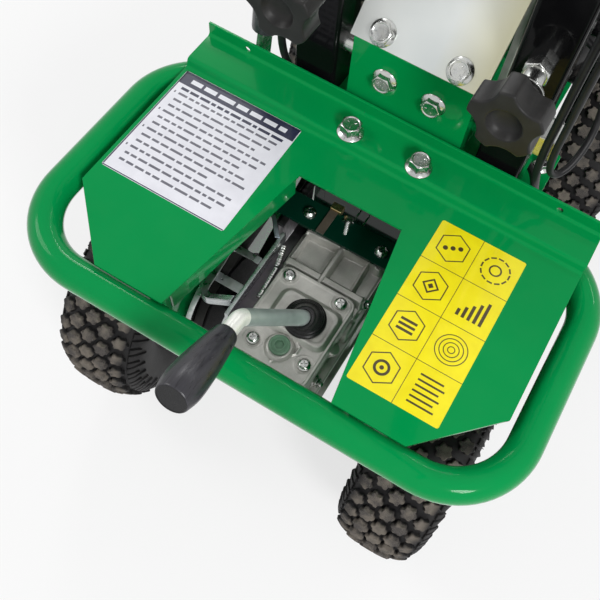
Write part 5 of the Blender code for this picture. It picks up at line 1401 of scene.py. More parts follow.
def engine_fittings():
    """Head cover with bolts, spark plug cap and lead, oil filler, carburettor bowl, deck and guard bolts."""
    tilt = math.radians(25)
    along = Vector((0, math.cos(tilt), math.sin(tilt)))
    face = Vector((0.0150, 0.4300, 0.3960)) + along * 0.1060
    head = facing(face, along)
    cast = Shape()
    cast.pad(soft_box(-0.034, -0.035, 0.034, 0.035, 0.010, 5), -0.0010, 0.0060, head, edge=0.0025)
    neck = facing((0.0480, 0.4480, 0.3060), (0, 0.85, 0.53))
    cast.drum(0.015, 0, 0.012, neck, 32, top=0.013)
    bowl = facing((0.0860, 0.4990, 0), (0, 0, 1))
    cast.spun(mm((0, 411), (8.5, 411), (11.5, 413), (12.5, 417), (12.5, 433), (14, 434), (14, 440.5),
                 (0, 440.5)), bowl, 36)
    done(cast, "engine_castings", [aluminium], edge=0.0004)
    bolts = Shape()
    for x in (-0.0265, 0.0265):
        for y in (-0.0275, 0.0275):
            seat = head @ Matrix.Translation((x, y, 0.0058))
            bolts.drum(0.0064, 0, 0.001, seat, 24)
            hex_head(bolts, seat, 0.0090, 0.0008, 0.0056)
    for x, y in ((0.1360, 0.2120), (0.0860, 0.5750), (-0.1360, 0.2120), (-0.0860, 0.5750)):
        flange_bolt(bolts, (x, y, 0.2700), (0, 0, 1), 0.0130, 0.0080, 0.0098)
    for y in (0.2620, 0.3960):
        flange_bolt(bolts, (-0.1080, y, 0.2880), (-1, 0, 0), 0.0080, 0.0050, 0.0062)
    hex_head(bolts, head, 0.0160, 0.0055, 0.0120)
    hex_head(bolts, facing((0.0860, 0.4990, 0.4112), (0, 0, -1)), 0.0080, 0.0, 0.0030)
    done(bolts, "engine_bolts", [zinc_bolt], edge=0.0002)
    cap = Shape()
    cap.spun(mm((0, 11), (7.8, 11), (8.4, 12), (8.4, 29), (7, 32), (0, 32)), head, 28)
    top = face + along * 0.0250
    lead = [top, top + Vector((0.0120, 0.0040, 0.0010)), (0.0560, 0.5560, 0.4390), (0.0760, 0.5300, 0.4100),
            (0.0860, 0.4960, 0.3960), (0.0860, 0.4740, 0.3920)]
    cap.tube(flowing(lead, 6), 0.0034, 14)
    turned = hex_ring(0.0240)
    cap.spun([(0, 0.0110), (0.0140, 0.0110), (turned, 0.0125), (turned, 0.0200), (0.0100, 0.0215), (0, 0.0215)],
             neck, 48)
    done(cap, "plug_lead_and_oil_cap", [black_moulding], edge=0.0003)


# Gearbox

def gearbox_case():
    """The cast housing: two sunk panels in its nose, bolting rim, ribs, bosses and side bolts."""
    left = gear_x - gear_half
    right = gear_x + gear_half
    base = gear_top - 0.006 - gap
    nose_left = left - 0.0060
    nose_right = right + 0.0040
    nose_end = 0.0455
    shape = Shape()
    shape.pad(soft_box(left + 0.002, gear_rear_y + 0.004, right - 0.002, gear_front_y - 0.001, 0.007, 5),
              gear_bottom, base - 0.001)
    shape.pad(soft_box(nose_left, gear_front_y - 0.010, nose_right, nose_end, 0.006, 5),
              gear_bottom + 0.012, base - 0.0095, edge=0.004)
    shape.pad(soft_box(left, gear_rear_y + 0.001, right, gear_front_y, 0.0098, 6), base - 0.010,
              base, edge=0.0012)
    shape.pad(soft_box(left - 0.001, gear_rear_y, right + 0.001, gear_front_y + 0.004, 0.008, 5),
              gear_bottom + 0.030, gear_bottom + 0.044, edge=0.0015)
    floor = base - 0.0095

    def height(x, y):
        ribs = max(rise(from_line(x, y, [(0.0045, gear_front_y), (0.0045, 0.0160)]) - 0.0032, 0.0034),
                   rise(from_line(x, y, [(0.0365, gear_front_y), (0.0350, 0.0130)]) - 0.0016, 0.0032) * 0.75,
                   rise(from_line(x, y, [(-0.0335, gear_front_y), (-0.0335, 0.0110)]) - 0.0022, 0.0036) * 0.8)
        ends = max(rise(from_line(x, y, [(-0.060, 0.0125), (0.060, 0.0185)]) - 0.0042, 0.0036),
                   rise(from_line(x, y, [(-0.060, gear_front_y + 0.0085), (0.060, gear_front_y + 0.0085)])
                        - 0.0050, 0.0046) * 0.9)
        bosses = max(rise(math.hypot(x - at_x, y - at_y) - 0.0062, 0.004)
                     for at_x, at_y in ((-0.036, 0.014), (0.046, 0.016)))
        front = rise(0.0215 - y, 0.003) * 0.45
        bulge = 0.0012 * math.cos((x - gear_x) / 0.045) if abs(x - gear_x) < 0.045 else 0
        rolled = rise(from_box(x, y, nose_left + 0.001, gear_front_y - 0.02, nose_right - 0.001,
                               nose_end - 0.001, 0.006) + 0.0012, 0.0036)
        return (0.0096 * max(ribs, ends, bosses * 0.92, front) + bulge) * rolled - 0.0010
    cast_skin(shape, nose_left + 0.0004, gear_front_y - 0.0015, nose_right - 0.0004, nose_end - 0.0004, floor,
              height)
    for z in (0.167, 0.217):
        shape.pad(soft_box(gear_x, gear_rear_y + 0.012, right + 0.0062, 0.0405, 0.003, 4), z,
                  z + 0.005, edge=0.0014)
    shape.spun(mm((0, 0), (19.5, 0), (19.5, 15), (18.5, 16), (10.5, 16), (10.5, 12), (0, 12)),
               facing((left + 0.010, -0.065, 0.190), (-1, 0, 0)), 40)
    shape.spun(mm((0, 0), (19.5, 0), (19.5, 25), (18.5, 26), (10.5, 26), (10.5, 20), (0, 20)),
               facing((right - 0.010, 0.010, 0.190), (1, 0, 0)), 40)
    shape.spun(mm((0, -8), (7.2, -8), (7, 3), (5.8, 4.6), (3, 5.4), (0, 5.5)),
               facing((right - 0.0010, -0.0812, 0.2450), (0.45, 0, 1)), 28)
    shape.spun(mm((0, -12), (15, -12), (14.8, 3), (13.6, 4.6), (6, 5.2), (0, 5.2)),
               facing((right - 0.001, -0.0460, 0.2250), (1, 0, 0)), 36)
    done(shape, "gearbox_case", [aluminium], ["gearbox_housing"], edge=0.0005, segments=2)
    studs = Shape()
    for x, y, z, axis in ((right + 0.0005, -0.0240, 0.2470, (0.9, 0, 0.45)),
                          (right - 0.0010, -0.1100, 0.2230, (1, -0.1, 0.35)),
                          (right - 0.0010, -0.1230, 0.1990, (1, 0, 0.15))):
        seat = facing((x, y, z), axis)
        studs.drum(0.0068, -0.006, 0.0006, seat, 24, top=0.0066)
        hex_head(studs, seat, 0.0098, 0.0004, 0.0044)
        studs.spun(mm((0, 4), (2.8, 4), (2.8, 8.2), (2.2, 8.8), (0, 8.8)), seat, 16)
    done(studs, "case_studs", [zinc_bolt], edge=0.0002)


screw_seats = [(gear_x - 0.0300, -0.045), (gear_x + 0.0270, -0.045), (gear_x - 0.0240, -0.119),
               (gear_x + 0.0300, -0.117)]


def gearbox_lid():
    left = gear_x - gear_half
    right = gear_x + gear_half
    shape = Shape()
    shape.pad(soft_box(left, gear_rear_y, right, gear_front_y, 0.010, 8), gear_top - 0.006,
              gear_top, edge=0.0014, steps=4)
    swoosh = mm((21.5, -101), (26.2, -104.5), (26.2, -111), (21.5, -117), (16.5, -124.5), (12, -129))

    def height(x, y):
        plateau = rise(from_box(x, y, -0.0165, -0.1000, 0.0458, -0.0560, 0.0100), 0.0062)
        dished = rise(from_box(x, y, -0.0110, -0.0950, 0.0405, -0.0605, 0.0080), 0.0030) * 0.12
        plug = rise(math.hypot(x - plug_at.x, y - plug_at.y) - 0.0132, 0.0034)
        ridge = rise(from_line(x, y, swoosh) - 0.0008, 0.0034) * 0.45
        lip = rise(from_box(x, y, left + 0.0030, gear_rear_y + 0.0030, right - 0.0030, gear_front_y - 0.0030,
                            0.0080) + 0.0002, 0.0012)
        rim = rise(abs(from_box(x, y, left + 0.0032, gear_rear_y + 0.0032, right - 0.0032,
                                gear_front_y - 0.0032, 0.0080)) - 0.0006, 0.0018) * 0.16
        rings = max(rise(abs(math.hypot(x - at_x, y - at_y) - 0.0092) - 0.0004, 0.0018)
                    for at_x, at_y in screw_seats) * 0.16
        return 0.0043 * max(plateau - dished * plateau, plug, ridge, rings, rim) * lip + 0.00006
    cast_skin(shape, left + 0.0026, gear_rear_y + 0.0026, right - 0.0026, gear_front_y - 0.0026, gear_top,
              height, 0.0007)
    done(shape, "gearbox_lid", [aluminium], ["gearbox_cover"])
    screws = Shape()
    for x, y in screw_seats:
        cross_screw(screws, (x, y, gear_top + 0.0002), 0.0067, 0.0044)
    done(screws, "lid_screws", [zinc_bolt])


def filler_plug():
    place = facing(plug_at, (0, 0, 1))
    rings = [(0, 0), (0.0102, 0), (0.0102, 0.0020), (0.0096, 0.0027), (0.0088, 0.0030), (0.0076, 0.0028),
             (0.0072, 0.0023), (0.0060, 0.0023), (0.0056, 0.0028), (hex_ring(0.0080), 0.0029),
             (hex_ring(0.0074), 0.0010), (0, 0.0010)]
    done(Shape().spun(rings, place, 48), "drain_plug", [plug_finish], ["filler_plug"])


def gearbox_strap():
    """The screws on the strap that holds the gearbox, and the linkage at its middle."""
    shape = Shape()
    level = 0.267
    for x in (-0.0415, 0.0415):
        cross_screw(shape, (x, 0.026, level), 0.0070, 0.0050)
    axis = (-0.28, 0.90, 0.10)
    thread = facing((0.0010, 0.0235, level - 0.0030), axis)
    rings = [(0, 0)]
    for k in range(18):
        rings += [(0.0036, 0.0011 * k), (0.0031, 0.0011 * k + 0.00055)]
    rings.append((0, 0.0200))
    shape.spun(rings, thread, 20)
    hex_head(shape, facing((-0.0040, 0.0390, level - 0.0030), axis), 0.0110, 0.0, 0.0060)
    shape.drum(0.0072, 0, 0.001, facing((-0.0035, 0.0376, level - 0.0030), axis), 24)
    for x in (-0.0030, 0.0075):
        wire = [(x, 0.0450, 0.2520), (x + 0.0010, 0.0600, 0.2560), (x + 0.0030, 0.1080, 0.2580)]
        shape.tube(bent(wire, 0.01, 5), 0.0011, 10)
    done(shape, "strap_fasteners", [zinc_bolt])
    block = Shape()
    block.pad(soft_box(-0.0270, 0.0410, -0.0140, 0.0500, 0.0012, 3), level - 0.003, level + 0.0040,
              edge=0.0008)
    block.pad(soft_box(-0.0262, 0.0110, -0.0172, 0.0430, 0.0008, 3), level + 0.0003, level + 0.0016,
              edge=0.0004, finish=1)
    done(block, "linkage_block", [brass, brown_strap], edge=0.0003)


def shade_filling_cross_plate():
    """The plate that closes the chassis in front of the gearbox, with a slot in it: a dark sheet in the green
    with painted shade, put where the machine's inside lies in shade.
    """
    shape = Shape()
    low, high = 0.150, 0.2690
    y = 0.1090
    across = Matrix(((1, 0, 0, 0), (0, 0, 1, y), (0, 1, 0, 0), (0, 0, 0, 1)))
    for outline in (soft_box(-0.066, low, 0.0405, high, 0.002, 3),
                    soft_box(0.0515, low, 0.0740, high, 0.002, 3),
                    soft_box(0.0400, low, 0.0520, 0.2050, 0.001, 3),
                    soft_box(-0.0790, low, -0.0650, 0.1860, 0.001, 3)):
        shape.pad(outline, 0.0, 0.0025, across)
    done(shape, "shade_filling_cross_plate", [deep_green_and_painted_shade], edge=0.0004)


def belt_keeper():
    """The keeper's plate and windowed hood, its flat strap, and the flange with its weld."""
    plate_low, plate_high = -0.0535, -0.0495
    shape = Shape()
    outline = rounded(mm((-110, 200), (-80, 150), (-30, 150), (-6, 190), (-6, 266), (-110, 260)),
                      [0.004, 0.008, 0.008, 0.004, 0.002, 0.002], 4)
    shape.pad(outline, plate_low, plate_high, on_flank)
    centre_y, centre_z, outer, inner = -0.065, 0.190, 0.0620, 0.0595

    def hood(near, far, start, stop, steps):
        """A part of the round hood, between two angles."""
        loops = []
        for k in range(steps + 1):
            a = start + (stop - start) * k / steps
            loops.append([(x, centre_y + radius * math.cos(a), centre_z + radius * math.sin(a))
                          for x, radius in ((near, inner), (far, inner), (far, outer), (near, outer))])
        shape.loft(loops)
    first, last = math.radians(96), math.radians(176)
    hood(-0.0950, -0.0890, first, last, 20)
    hood(-0.0580, plate_low + 0.0002, first, last, 20)
    hood(-0.0895, -0.0575, first, first + 0.16, 4)
    hood(-0.0895, -0.0575, last - 0.14, last, 4)
    route = rounded(mm((-54, -43), (-90.5, -43), (-85, -113), (-54, -98)), [0, 0.008, 0.010, 0], 8)
    wall = rounded(mm((-54, -45.6), (-87.9, -45.6), (-82.6, -109.4), (-54, -95.1)), [0, 0.0054, 0.0074, 0], 8)
    lip = rounded(mm((-54, -50.5), (-82.8, -50.5), (-78.2, -103.6), (-54, -91.2)), [0, 0.0034, 0.0044, 0], 8)
    for inside, heights in ((wall, (0.2535, 0.2655)), (lip, (0.2636, 0.2657))):
        shape.loft([[(p.x, p.y, z) for p in route + inside[::-1]] for z in heights])
    done(shape, "belt_keeper_plate", [keeper_zinc], ["belt_keeper"], edge=0.0004, segments=2)
    flange = Shape()
    flange.pad(mm((-49.4, -101), (-34.5, -101), (-34.5, -38), (-39, -30), (-39, 40), (-49.4, 40)), 0.2470, 0.2500)
    weld_run(flange, (-0.0470, -0.0130, 0.2525), (-0.0400, -0.0400, 0.2525), 0.0025, 3)
    weld_run(flange, (-0.0405, -0.0385, 0.2525), (-0.0375, -0.0760, 0.2525), 0.0022, 8)
    done(flange, "keeper_flange", [keeper_violet, zinc_bolt])
    cheek = Shape()
    cheek.pad(rounded(mm((4, 205), (70, 205), (76, 264), (0, 264)), 0.002, 3), -0.0650, -0.0625, on_flank)
    cheek.pad(rounded(mm((0, 261), (76, 261), (76, 264), (0, 264)), 0.0004, 2), -0.0660, -0.0560, on_flank)
    done(cheek, "bracket_cheek", [keeper_violet], edge=0.0003)
    strip = Shape()
    strip.pad(mm((-77.5, 9), (-72.5, 9), (-51.5, -15), (-56, -17))[::-1], 0.2660, 0.2676)
    done(strip, "keeper_tie", [blue_zinc], edge=0.0003)


def boot():
    """A stepped rubber boot, drawn over to the rear where the shift lever leaves it."""
    steps = mm((20.5, 0), (20.6, 1.2), (20.2, 2.8), (19, 3.6), (18.2, 4), (17.8, 4.8), (18, 6), (17.4, 7),
               (16.4, 7.5), (16, 8.2), (16.2, 9.4), (15.5, 10.3), (14.2, 11.2), (13, 13), (12.2, 15.2),
               (11.6, 17.6), (11, 19.4), (10.1, 20.6), (9, 21), (8, 20.8), (7.7, 19))
    base = Vector((0.0160, -0.0785, boot_at.z))
    drawn = Vector((0.0020, -0.0085, 0.0))
    lean = Vector((-0.25, -0.45, 0.0))
    shape = Shape()
    rows = [[shape.mesh.verts.new(base)]]
    for radius, height in steps:
        share = max(0.0, (height - 0.0036) / 0.0174)
        middle = base + drawn * share ** 1.2 + Vector((0, 0, height))
        tilt = lean * share
        row = []
        for a in angles(64):
            flat = Vector((math.cos(a), math.sin(a), 0)) * radius
            row.append(shape.mesh.verts.new(middle + flat + Vector((0, 0, tilt.dot(flat) * -0.8))))
        rows.append(row)
    rows.append([shape.mesh.verts.new(base + drawn + Vector((0, 0, 0.0180)))])
    shape.faces(rows, 0)
    foot = base + Vector((0, 0, 0.0040))
    neck = base + drawn + Vector((0, 0, 0.0200))
    done(shape, "shift_boot_rubber", [boot_rubber], ["shift_boot"],
         ("frame", "shift_lever", foot, neck))


def shift_lever():
    bend = [Vector((0.0165, -0.0800, gear_top + 0.012)), Vector((0.0178, -0.0855, 0.2870)),
            Vector((0.0100, -0.0965, 0.2985)), Vector((-0.0145, -0.1390, 0.3475))]
    tip = Vector((-0.0102, -0.2345, 0.3837))
    along = (tip - bend[3]).normalized()
    start = bend[3] + along * 0.022
    rod = 0.0076
    route = bent(bend + [start + along * 0.024], 0.016, 12)
    split = next(i for i, p in enumerate(route) if (p - bend[3]).length < 0.012)
    shape = Shape().tube(route[:split + 1], rod, 32, 0)
    shape.tube(route[split:], rod, 32, 1)
    done(shape, "shift_rod", [rod_finish, yellow_zinc], ["shift_lever"], "shift_lever")
    length = (tip - start).length
    place = facing(start, along)
    profile = [(0.0079, 0.012), (0.0079, 0.0010), (0.0084, 0.0001), (0.0094, 0.0), (0.0101, 0.0006),
               (0.0106, 0.0018), (0.0112, length * 0.06), (0.0124, length * 0.16), (0.0137, length * 0.28),
               (0.0149, length * 0.40), (0.0159, length * 0.52), (0.0166, length * 0.64),
               (0.0170, length * 0.74), (0.0170, length * 0.80), (0.0167, length * 0.85),
               (0.0161, length * 0.90), (0.0153, length - 0.0045), (0.0146, length - 0.0014),
               (0.0141, length - 0.0004), (0.0134, length)]
    grip = Shape().spun(profile, place, 64)
    grip.spun([(0.0136, length - 0.0003), (0.0130, length + 0.0001), (0.0124, length - 0.0004),
               (0, length - 0.0004)], place, 64, 1)
    done(grip, "shift_handle", [grip_finish, boot_rubber], ["shift_grip"], "shift_lever")


# Wheels

def tyre_profile():
    """Half of the tyre's outer line from the crown to the bead, as (across, radius)."""
    return mm((0, 128), (12, 127.7), (24, 126.2), (33, 123.2), (40, 118), (44.5, 110.5), (47, 101), (47.2, 91),
              (45.2, 81), (41, 71.5), (35, 64), (29, 58.5), (27, 56.2))


def profile_line():
    half = flowing([Vector((x, r, 0)) for x, r in tyre_profile()], 3)
    both = [Vector((-p.x, p.y, 0)) for p in reversed(half[1:])] + half
    lengths = [0.0]
    for a, b in zip(both, both[1:]):
        lengths.append(lengths[-1] + (b - a).length)
    middle = lengths[len(both) // 2]
    return both, [value - middle for value in lengths]


def on_profile(line_points, lengths, s, height):
    """The point at a length s from the crown, raised off the surface."""
    for i in range(len(lengths) - 1):
        if s <= lengths[i + 1] or i == len(lengths) - 2:
            break
    t = (s - lengths[i]) / (lengths[i + 1] - lengths[i])
    at = line_points[i].lerp(line_points[i + 1], t)
    along = (line_points[i + 1] - line_points[i]).normalized()
    out = Vector((-along.y, along.x, 0))
    return at.x + out.x * height, at.y + out.y * height


def build_tyre():
    """The carcass, five rows of six-lobed studs, toothed shoulder blocks and vent hairs."""
    line_points, lengths = profile_line()
    shape = Shape()
    inner = [Vector((p.x * 0.93, p.y - (0.0035 if p.y > 0.075 else 0.0015), 0)) for p in reversed(line_points)]
    loop = line_points + inner
    rows = []
    for a in angles(80):
        rows.append([shape.mesh.verts.new((p.x, p.y * math.sin(a), p.y * math.cos(a))) for p in loop])
    shape.faces(rows + [rows[0]], 0)
    crown = 0.1345

    def spot(s, u, height, centre):
        x, r = on_profile(line_points, lengths, s, height)
        a = centre + u / crown
        return shape.mesh.verts.new((x, r * math.sin(a), r * math.cos(a)))

    def stud(s, centre, size, depth, sink=0.0015):
        loops = []
        for scale, height in ((1.06, -sink), (1.0, depth - 0.0008), (0.90, depth)):
            row = []
            for b in angles(24):
                r = size * scale * (1 + 0.17 * math.cos(6 * b + 0.5))
                row.append(spot(s + r * math.cos(b), r * math.sin(b), height, centre))
            loops.append(row)
        shape.faces(loops, 0)
        shape.cap(loops[-1], 0)

    pitches = 36
    pitch = 2 * math.pi / pitches
    for k in range(pitches):
        for row, s in enumerate((-0.0316, -0.0158, 0.0, 0.0158, 0.0316)):
            shift = 0.5 * (row % 2) + 0.13 * (row - 2)
            centre = pitch * (k + shift)
            depth = 0.0070 if abs(s) < 0.02 else 0.0058
            stud(s, centre, 0.0070, depth - (0.0008 if abs(s) > 0.03 else 0))
        for side in (-1, 1):
            centre = pitch * (k + 0.26 * side)
            for shift, reach, wide in ((0.0, 0.0640, 0.0052), (0.5, 0.0560, 0.0040)):
                loops = []
                for scale, height in ((1.0, -0.0012), (0.92, 0.0018), (0.80, 0.0022)):
                    row = []
                    for s, u in ((0.0415, -wide), (0.0415, wide), (0.0480, wide * 0.95), (reach, wide * 0.12),
                                 (reach, -wide * 0.12), (0.0480, -wide * 0.95)):
                        row.append(spot(side * (0.050 + (s - 0.050) * scale), u * scale, height,
                                        centre + pitch * shift))
                    loops.append(row if side > 0 else row[::-1])
                shape.faces(loops, 0)
                shape.cap(loops[-1], 0)
    for radius in (0.0640, 0.0668):
        for side in (-1, 1):
            ring_at(shape, side, radius, line_points)
    draw = random.Random(5)
    for k in range(46):
        side = -1 if k % 2 else 1
        centre = 2 * math.pi * (k + draw.random() * 0.6) / 46
        s = side * draw.choice((0.0430, 0.0520, 0.0600))
        base_x, base_r = on_profile(line_points, lengths, s, 0.0)
        tip_x, tip_r = on_profile(line_points, lengths, s, draw.uniform(0.0020, 0.0034)
                                  if abs(s) > 0.05 else 0.0020)
        tip_x = max(-0.0483, min(0.0483, tip_x))
        lean = centre + draw.uniform(-0.012, 0.012)
        shape.tube([(base_x, base_r * math.sin(centre), base_r * math.cos(centre)),
                    (tip_x, tip_r * math.sin(lean), tip_r * math.cos(lean))], [0.00045, 0.00030], 5)
    return shape


def ring_at(shape, side, radius, line_points):
    """A fine moulded ring near the bead."""
    near = min((p for p in line_points if p.x * side > 0), key=lambda p: abs(p.y - radius))
    rows = []
    for a in angles(64):
        rows.append([shape.mesh.verts.new((near.x + 0.0006 * math.cos(b),
                                           (near.y + 0.0006 * math.sin(b)) * math.sin(a),
                                           (near.y + 0.0006 * math.sin(b)) * math.cos(a)))
                     for b in angles(6)])
    shape.faces(rows + [rows[0]], 0)


def build_rim():
    """A pressed rim with its dish, bolt heads and hub, outer face towards +Z."""
    shape = Shape()
    hub, reach, half = 0.022, 0.034, 0.028
    profile = [(0.0130, -reach), (hub - 0.001, -reach), (hub, -reach + 0.001), (hub, 0.0030), (0.0300, 0.0026),
               (0.0400, 0.0008), (0.0440, -0.0060), (rim_radius - 0.008, -0.0200),
               (rim_radius - 0.004, -half + 0.004), (rim_radius, -half), (rim_radius, -half + 0.002),
               (rim_radius - 0.0016, -half + 0.0060), (rim_radius - 0.0060, -0.0120),
               (rim_radius - 0.0060, 0.0120), (rim_radius - 0.0016, half - 0.0060), (rim_radius, half - 0.002),
               (rim_radius, half), (rim_radius - 0.0025, half), (rim_radius - 0.0060, half - 0.0040),
               (0.0478, 0.0180), (0.0450, 0.0110), (0.0400, 0.0090), (0.0300, 0.0096), (hub + 0.0020, 0.0090),
               (hub, 0.0100), (hub, reach - 0.001), (hub - 0.001, reach), (0.0130, reach)]
    shape.spun(profile, here, 64, closed=True)
    for a in angles(4, math.pi / 4):
        seat = facing((0.0325 * math.cos(a), 0.0325 * math.sin(a), 0.0094), (0, 0, 1), a)
        shape.drum(0.0062, 0, 0.0008, seat, 24, 1)
        hex_head(shape, seat, 0.0088, 0.0006, 0.0050, 1)
    stem = facing((0.0, 0.0440, 0.0100), (0, -0.25, 1))
    shape.spun(mm((0, 0), (4.2, 0), (4.2, 4), (3, 6), (3, 12), (2.6, 14), (0, 14)), stem, 16, 2)
    return shape


def wheels():
    """Four tyres from one mesh, and four rims, each with its middle on its axle."""
    tyre_mesh = mesh_of(build_tyre(), "tyre")
    tyre_mesh.materials.append(tyre_finish)
    tyre_mesh.shade_smooth()
    tyre_mesh.set_sharp_from_angle(angle=math.radians(40))
    for axle, y, track in (("front", front_axle_y, front_track_half), ("rear", rear_axle_y, rear_track_half)):
        for side, word in sides:
            at = (side * track, y, wheel_radius)
            node = axle + "_tyre_" + word
            obj = placed(axle + "_knobbly_tyre_" + word, tyre_mesh)
            obj.location = at
            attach(obj, body_of(node))
            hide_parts(node)
            rim_node = axle + "_rim_" + word
            shape = build_rim()
            bmesh.ops.transform(shape.mesh, matrix=facing(at, (side, 0, 0)), verts=shape.mesh.verts)
            done(shape, axle + "_pressed_rim_" + word, [rim_finish, zinc_bolt, black_moulding],
                 [rim_node], body_of(rim_node), origin=at)


def wheel_nuts():
    for name, body, y, reach, across in (
            ("rear_wheel_nuts", "depth_carriage", rear_axle_y, rear_track_half + 0.0343, 0.0286),
            ("front_wheel_nuts", "front_axle", front_axle_y, front_track_half + 0.0343, 0.0322)):
        shape = Shape()
        for side in (-1, 1):
            seat = facing((side * reach, y, wheel_radius), (side, 0, 0))
            hex_head(shape, seat, across, 0.0001, 0.0100)
        done(shape, name, [zinc_bolt], (), body_of(body), edge=0.0002, origin=(0, y, wheel_radius))


# Cables

shared_run = mm((231.4, -413, 950), (235, -385, 949), (246, -330, 930), (251.5, -280, 906), (226.8, -195, 885.9),
                (186.8, -60, 865.9), (168.5, 5, 845), (148, 66, 790), (138.5, 107, 735), (136, 116, 640),
                (134, 116, 520), (134.5, 115.5, 440))
cable_routes = {
    "drive": shared_run + mm(
        (135, 116.5, 400), (137.5, 119.5, 368), (142, 130, 336), (143, 150, 306), (129, 190, 285),
        (98, 218, 276.2), (50, 232, 274.8), (0, 234, 274.5), (-42, 234, 274.5)),
    "blade": [(-x, y, z) for x, y, z in shared_run] + mm(
        (-135.5, 116.5, 400), (-135.5, 119.5, 368), (-135.5, 130, 336), (-134.5, 150, 306), (-126, 190, 281),
        (-115, 225, 274.5)),
}
throttle_route = mm((220.5, -364, 933), (220, -345, 930), (210.5, -300, 914), (205, -255, 895),
                    (190, -165, 870), (166, -60, 850), (160, -10, 837), (154.5, 45, 788), (149, 90, 725),
                    (145, 107, 655), (143, 111, 590), (142.5, 111.5, 520), (143, 111, 450), (144, 110.5, 408),
                    (147.5, 113, 385), (155, 121.5, 377), (162, 135, 386), (164, 156, 405), (158, 185, 420),
                    (140, 218, 426), (115, 238, 424), (99, 247, 420))


def sheath(points, radius):
    """A cable's sheath with a metal ferrule at each end."""
    route = flowing(points, 5)
    shape = Shape().tube(route, radius, 16)
    thin, full, length = radius - 0.0003, radius + 0.0001, 0.0128
    for start, ahead in ((route[0], route[3]), (route[-1], route[-4])):
        shape.spun([(0, 0), (thin, 0), (full, 0.0006), (full, length - 0.0008), (thin, length), (0, length)],
                   facing(start, (ahead - start).normalized()), 20, 1)
    return shape


def cables():
    finishes = [black_moulding, zinc_bolt]
    for word, points in cable_routes.items():
        done(sheath(points, 0.0039), word + "_cable_sheath", finishes, [word + "_cable"])
    done(sheath(throttle_route, 0.0034), "throttle_cable_sheath", finishes)


# Everything else keeps the frame's own shape

dressed = (
    ("side_plate_left", green, 0.0006), ("side_plate_right", green, 0.0006), ("engine_deck", green, 0.0008),
    ("tower_bracket", green, 0.0012), ("guard_plate", guard_zinc, 0.0007),
    # the gearbox bracket takes the deep green with painted shade
    ("gearbox_bracket", deep_green_and_painted_shade, 0.0005), ("gearbox_pulley", pulley_finish, 0.0005),
    ("engine_pulley", steel, 0.0005), ("cam_shaft", steel, 0.0005), ("drive_belt", belt_finish, 0.0006),
    ("blade_belt", belt_finish, 0.0006), ("drive_idler", zinc_plate, 0.0005), ("blade_idler", zinc_plate, 0.0005),
    ("output_sprocket", steel, 0.0003), ("drive_chain", steel, 0.0003), ("front_axle", steel, 0.0003),
    ("depth_carriage", black, 0.0006), ("depth_lever", zinc_plate, 0.0006), ("depth_grip", grip_finish, 0.0006),
    ("blade", steel, 0.0006), ("con_rod_left", steel, 0.0005), ("con_rod_right", steel, 0.0005),
    ("engine_block", aluminium, 0.0006), ("starter_grip", black_moulding, 0.0012),
    ("fuel_cap", black_moulding, 0.0010), ("muffler", exhaust, 0.0008), ("belt_guard", green, 0.0006),
    ("blade_lever", black, 0.0005), ("drive_lever", black, 0.0005), ("throttle_lever", black_moulding, 0.0004),
)


# Floor, light and camera

def seen_directly(tree):
    """1 for rays from the camera, a reflection or glass, and 0 for the light that falls on things."""
    path = add(tree, "ShaderNodeLightPath")
    most = path.outputs["Is Camera Ray"]
    for name in ("Is Glossy Ray", "Is Transmission Ray"):
        larger = add(tree, "ShaderNodeMath", operation="MAXIMUM")
        tree.links.new(most, larger.inputs[0])
        tree.links.new(path.outputs[name], larger.inputs[1])
        most = larger.outputs[0]
    return most


def mix_to(tree, share, first, second, end):
    """Mixes two shaders into the tree's output."""
    blend = add(tree, "ShaderNodeMixShader")
    tree.links.new(share, blend.inputs["Fac"])
    tree.links.new(first.outputs[0], blend.inputs[1])
    tree.links.new(second.outputs[0], blend.inputs[2])
    tree.links.new(blend.outputs[0], tree.nodes[end].inputs["Surface"])


def stage():
    """A wide round floor that looks white, and that still shows the object's shadow."""
    radius, thickness = 9.0, 0.02
    floor = Shape().drum(radius, -thickness, 0, here, 64)
    obj = placed("floor", mesh_of(floor, "floor"))
    finish = bpy.data.materials.new("floor_white")
    finish.use_nodes = True
    tree = finish.node_tree
    shader = tree.nodes["Principled BSDF"]
    shader.inputs["Base Color"].default_value = (0.86, 0.86, 0.86, 1)
    shader.inputs["Roughness"].default_value = 0.9
    shader.inputs["Specular IOR Level"].default_value = 0.1
    glow = add(tree, "ShaderNodeEmission")
    glow.inputs["Strength"].default_value = 1.0
    share = add(tree, "ShaderNodeMath", operation="MULTIPLY")
    share.inputs[1].default_value = 0.72
    tree.links.new(seen_directly(tree), share.inputs[0])
    mix_to(tree, share.outputs[0], shader, glow, "Material Output")
    obj.data.materials.append(finish)


def surroundings():
    """A white background, and a dimmer white light from all sides."""
    world = bpy.data.worlds.new("studio")
    bpy.context.scene.world = world
    world.use_nodes = True
    tree = world.node_tree
    seen = tree.nodes["Background"]
    soft = add(tree, "ShaderNodeBackground")
    for node, strength in ((seen, 1.0), (soft, 0.42)):
        node.inputs["Color"].default_value = (1, 1, 1, 1)
        node.inputs["Strength"].default_value = strength
    mix_to(tree, seen_directly(tree), soft, seen, "World Output")


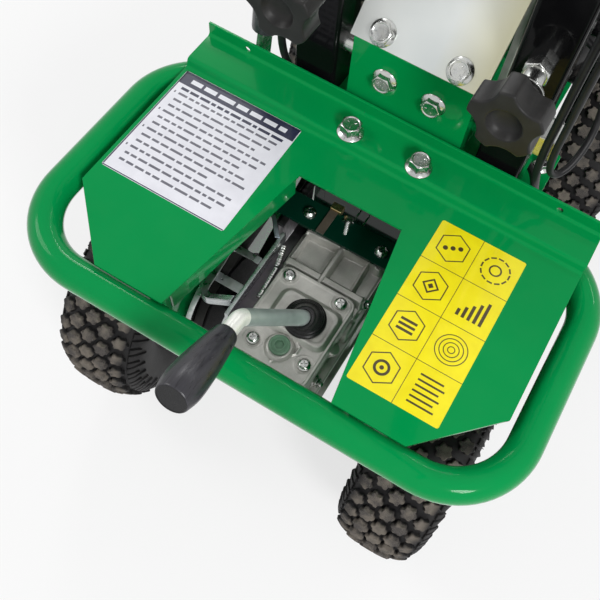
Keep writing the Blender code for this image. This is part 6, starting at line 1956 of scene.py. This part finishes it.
def lamp(name, at, aim, power, size, narrow=0.0):
    """A round lamp, or a strip of light where its narrow side is given."""
    light = bpy.data.lights.new(name, "AREA")
    light.shape = "RECTANGLE" if narrow else "DISK"
    light.size = size
    if narrow:
        light.size_y = narrow
    light.energy = power
    placed(name, light).matrix_world = facing(at, Vector(at) - Vector(aim))


def camera():
    """Stands where the photograph was taken from, turned and zoomed as it was."""
    frame_pixels, focal_pixels = 600, 790.3
    middle_x, middle_y = 345.8, 291.0
    seen = bpy.data.cameras.new("view")
    seen.sensor_width = 36.0
    seen.lens = focal_pixels / frame_pixels * seen.sensor_width
    seen.shift_x = 0.5 - middle_x / frame_pixels
    seen.shift_y = middle_y / frame_pixels - 0.5
    right = Vector((0.8633, 0.4955, 0.0963)).normalized()
    up = Vector((-0.4808, 0.7493, 0.4552)).normalized()
    back = right.cross(up).normalized()
    up = back.cross(right).normalized()
    place = Matrix((right, up, back)).transposed().to_4x4()
    place.translation = (0.1498, -0.3649, 0.9403)
    obj = placed("view", seen)
    obj.matrix_world = place
    bpy.context.scene.camera = obj


for node, finish, edge in dressed:
    dress(node, finish, edge)
cover_plate()
notch_skirts()
guard_tube()
white_label()
yellow_label()
chassis_bolts()
for side, word in sides:
    post(side, word)
    clamp_knob(side, word)
    hand_grip(side, word)
handlebar()
gearbox_case()
gearbox_lid()
filler_plug()
gearbox_strap()
shade_filling_cross_plate()
belt_keeper()
boot()
shift_lever()
wheels()
wheel_nuts()
cables()
fuel_tank()
fan_cowl()
air_filter()
muffler_shield()
engine_fittings()
stage()
surroundings()
lamp("key_light", (1.3, -1.1, 1.6), (0.0, 0.0, 0.3), 28, 0.55)
lamp("fill_light", (-1.9, -0.4, 1.9), (0.0, 0.0, 0.3), 14, 0.9)
lamp("rim_light", (-1.3, 1.7, 1.9), (0.0, 0.1, 0.4), 8, 0.6)
lamp("strip_light", (0.0, 2.0, 1.9), (0.0, -0.1, 0.32), 14, 3.2, 0.05)
camera()
bpy.context.scene.view_settings.view_transform = "Standard"
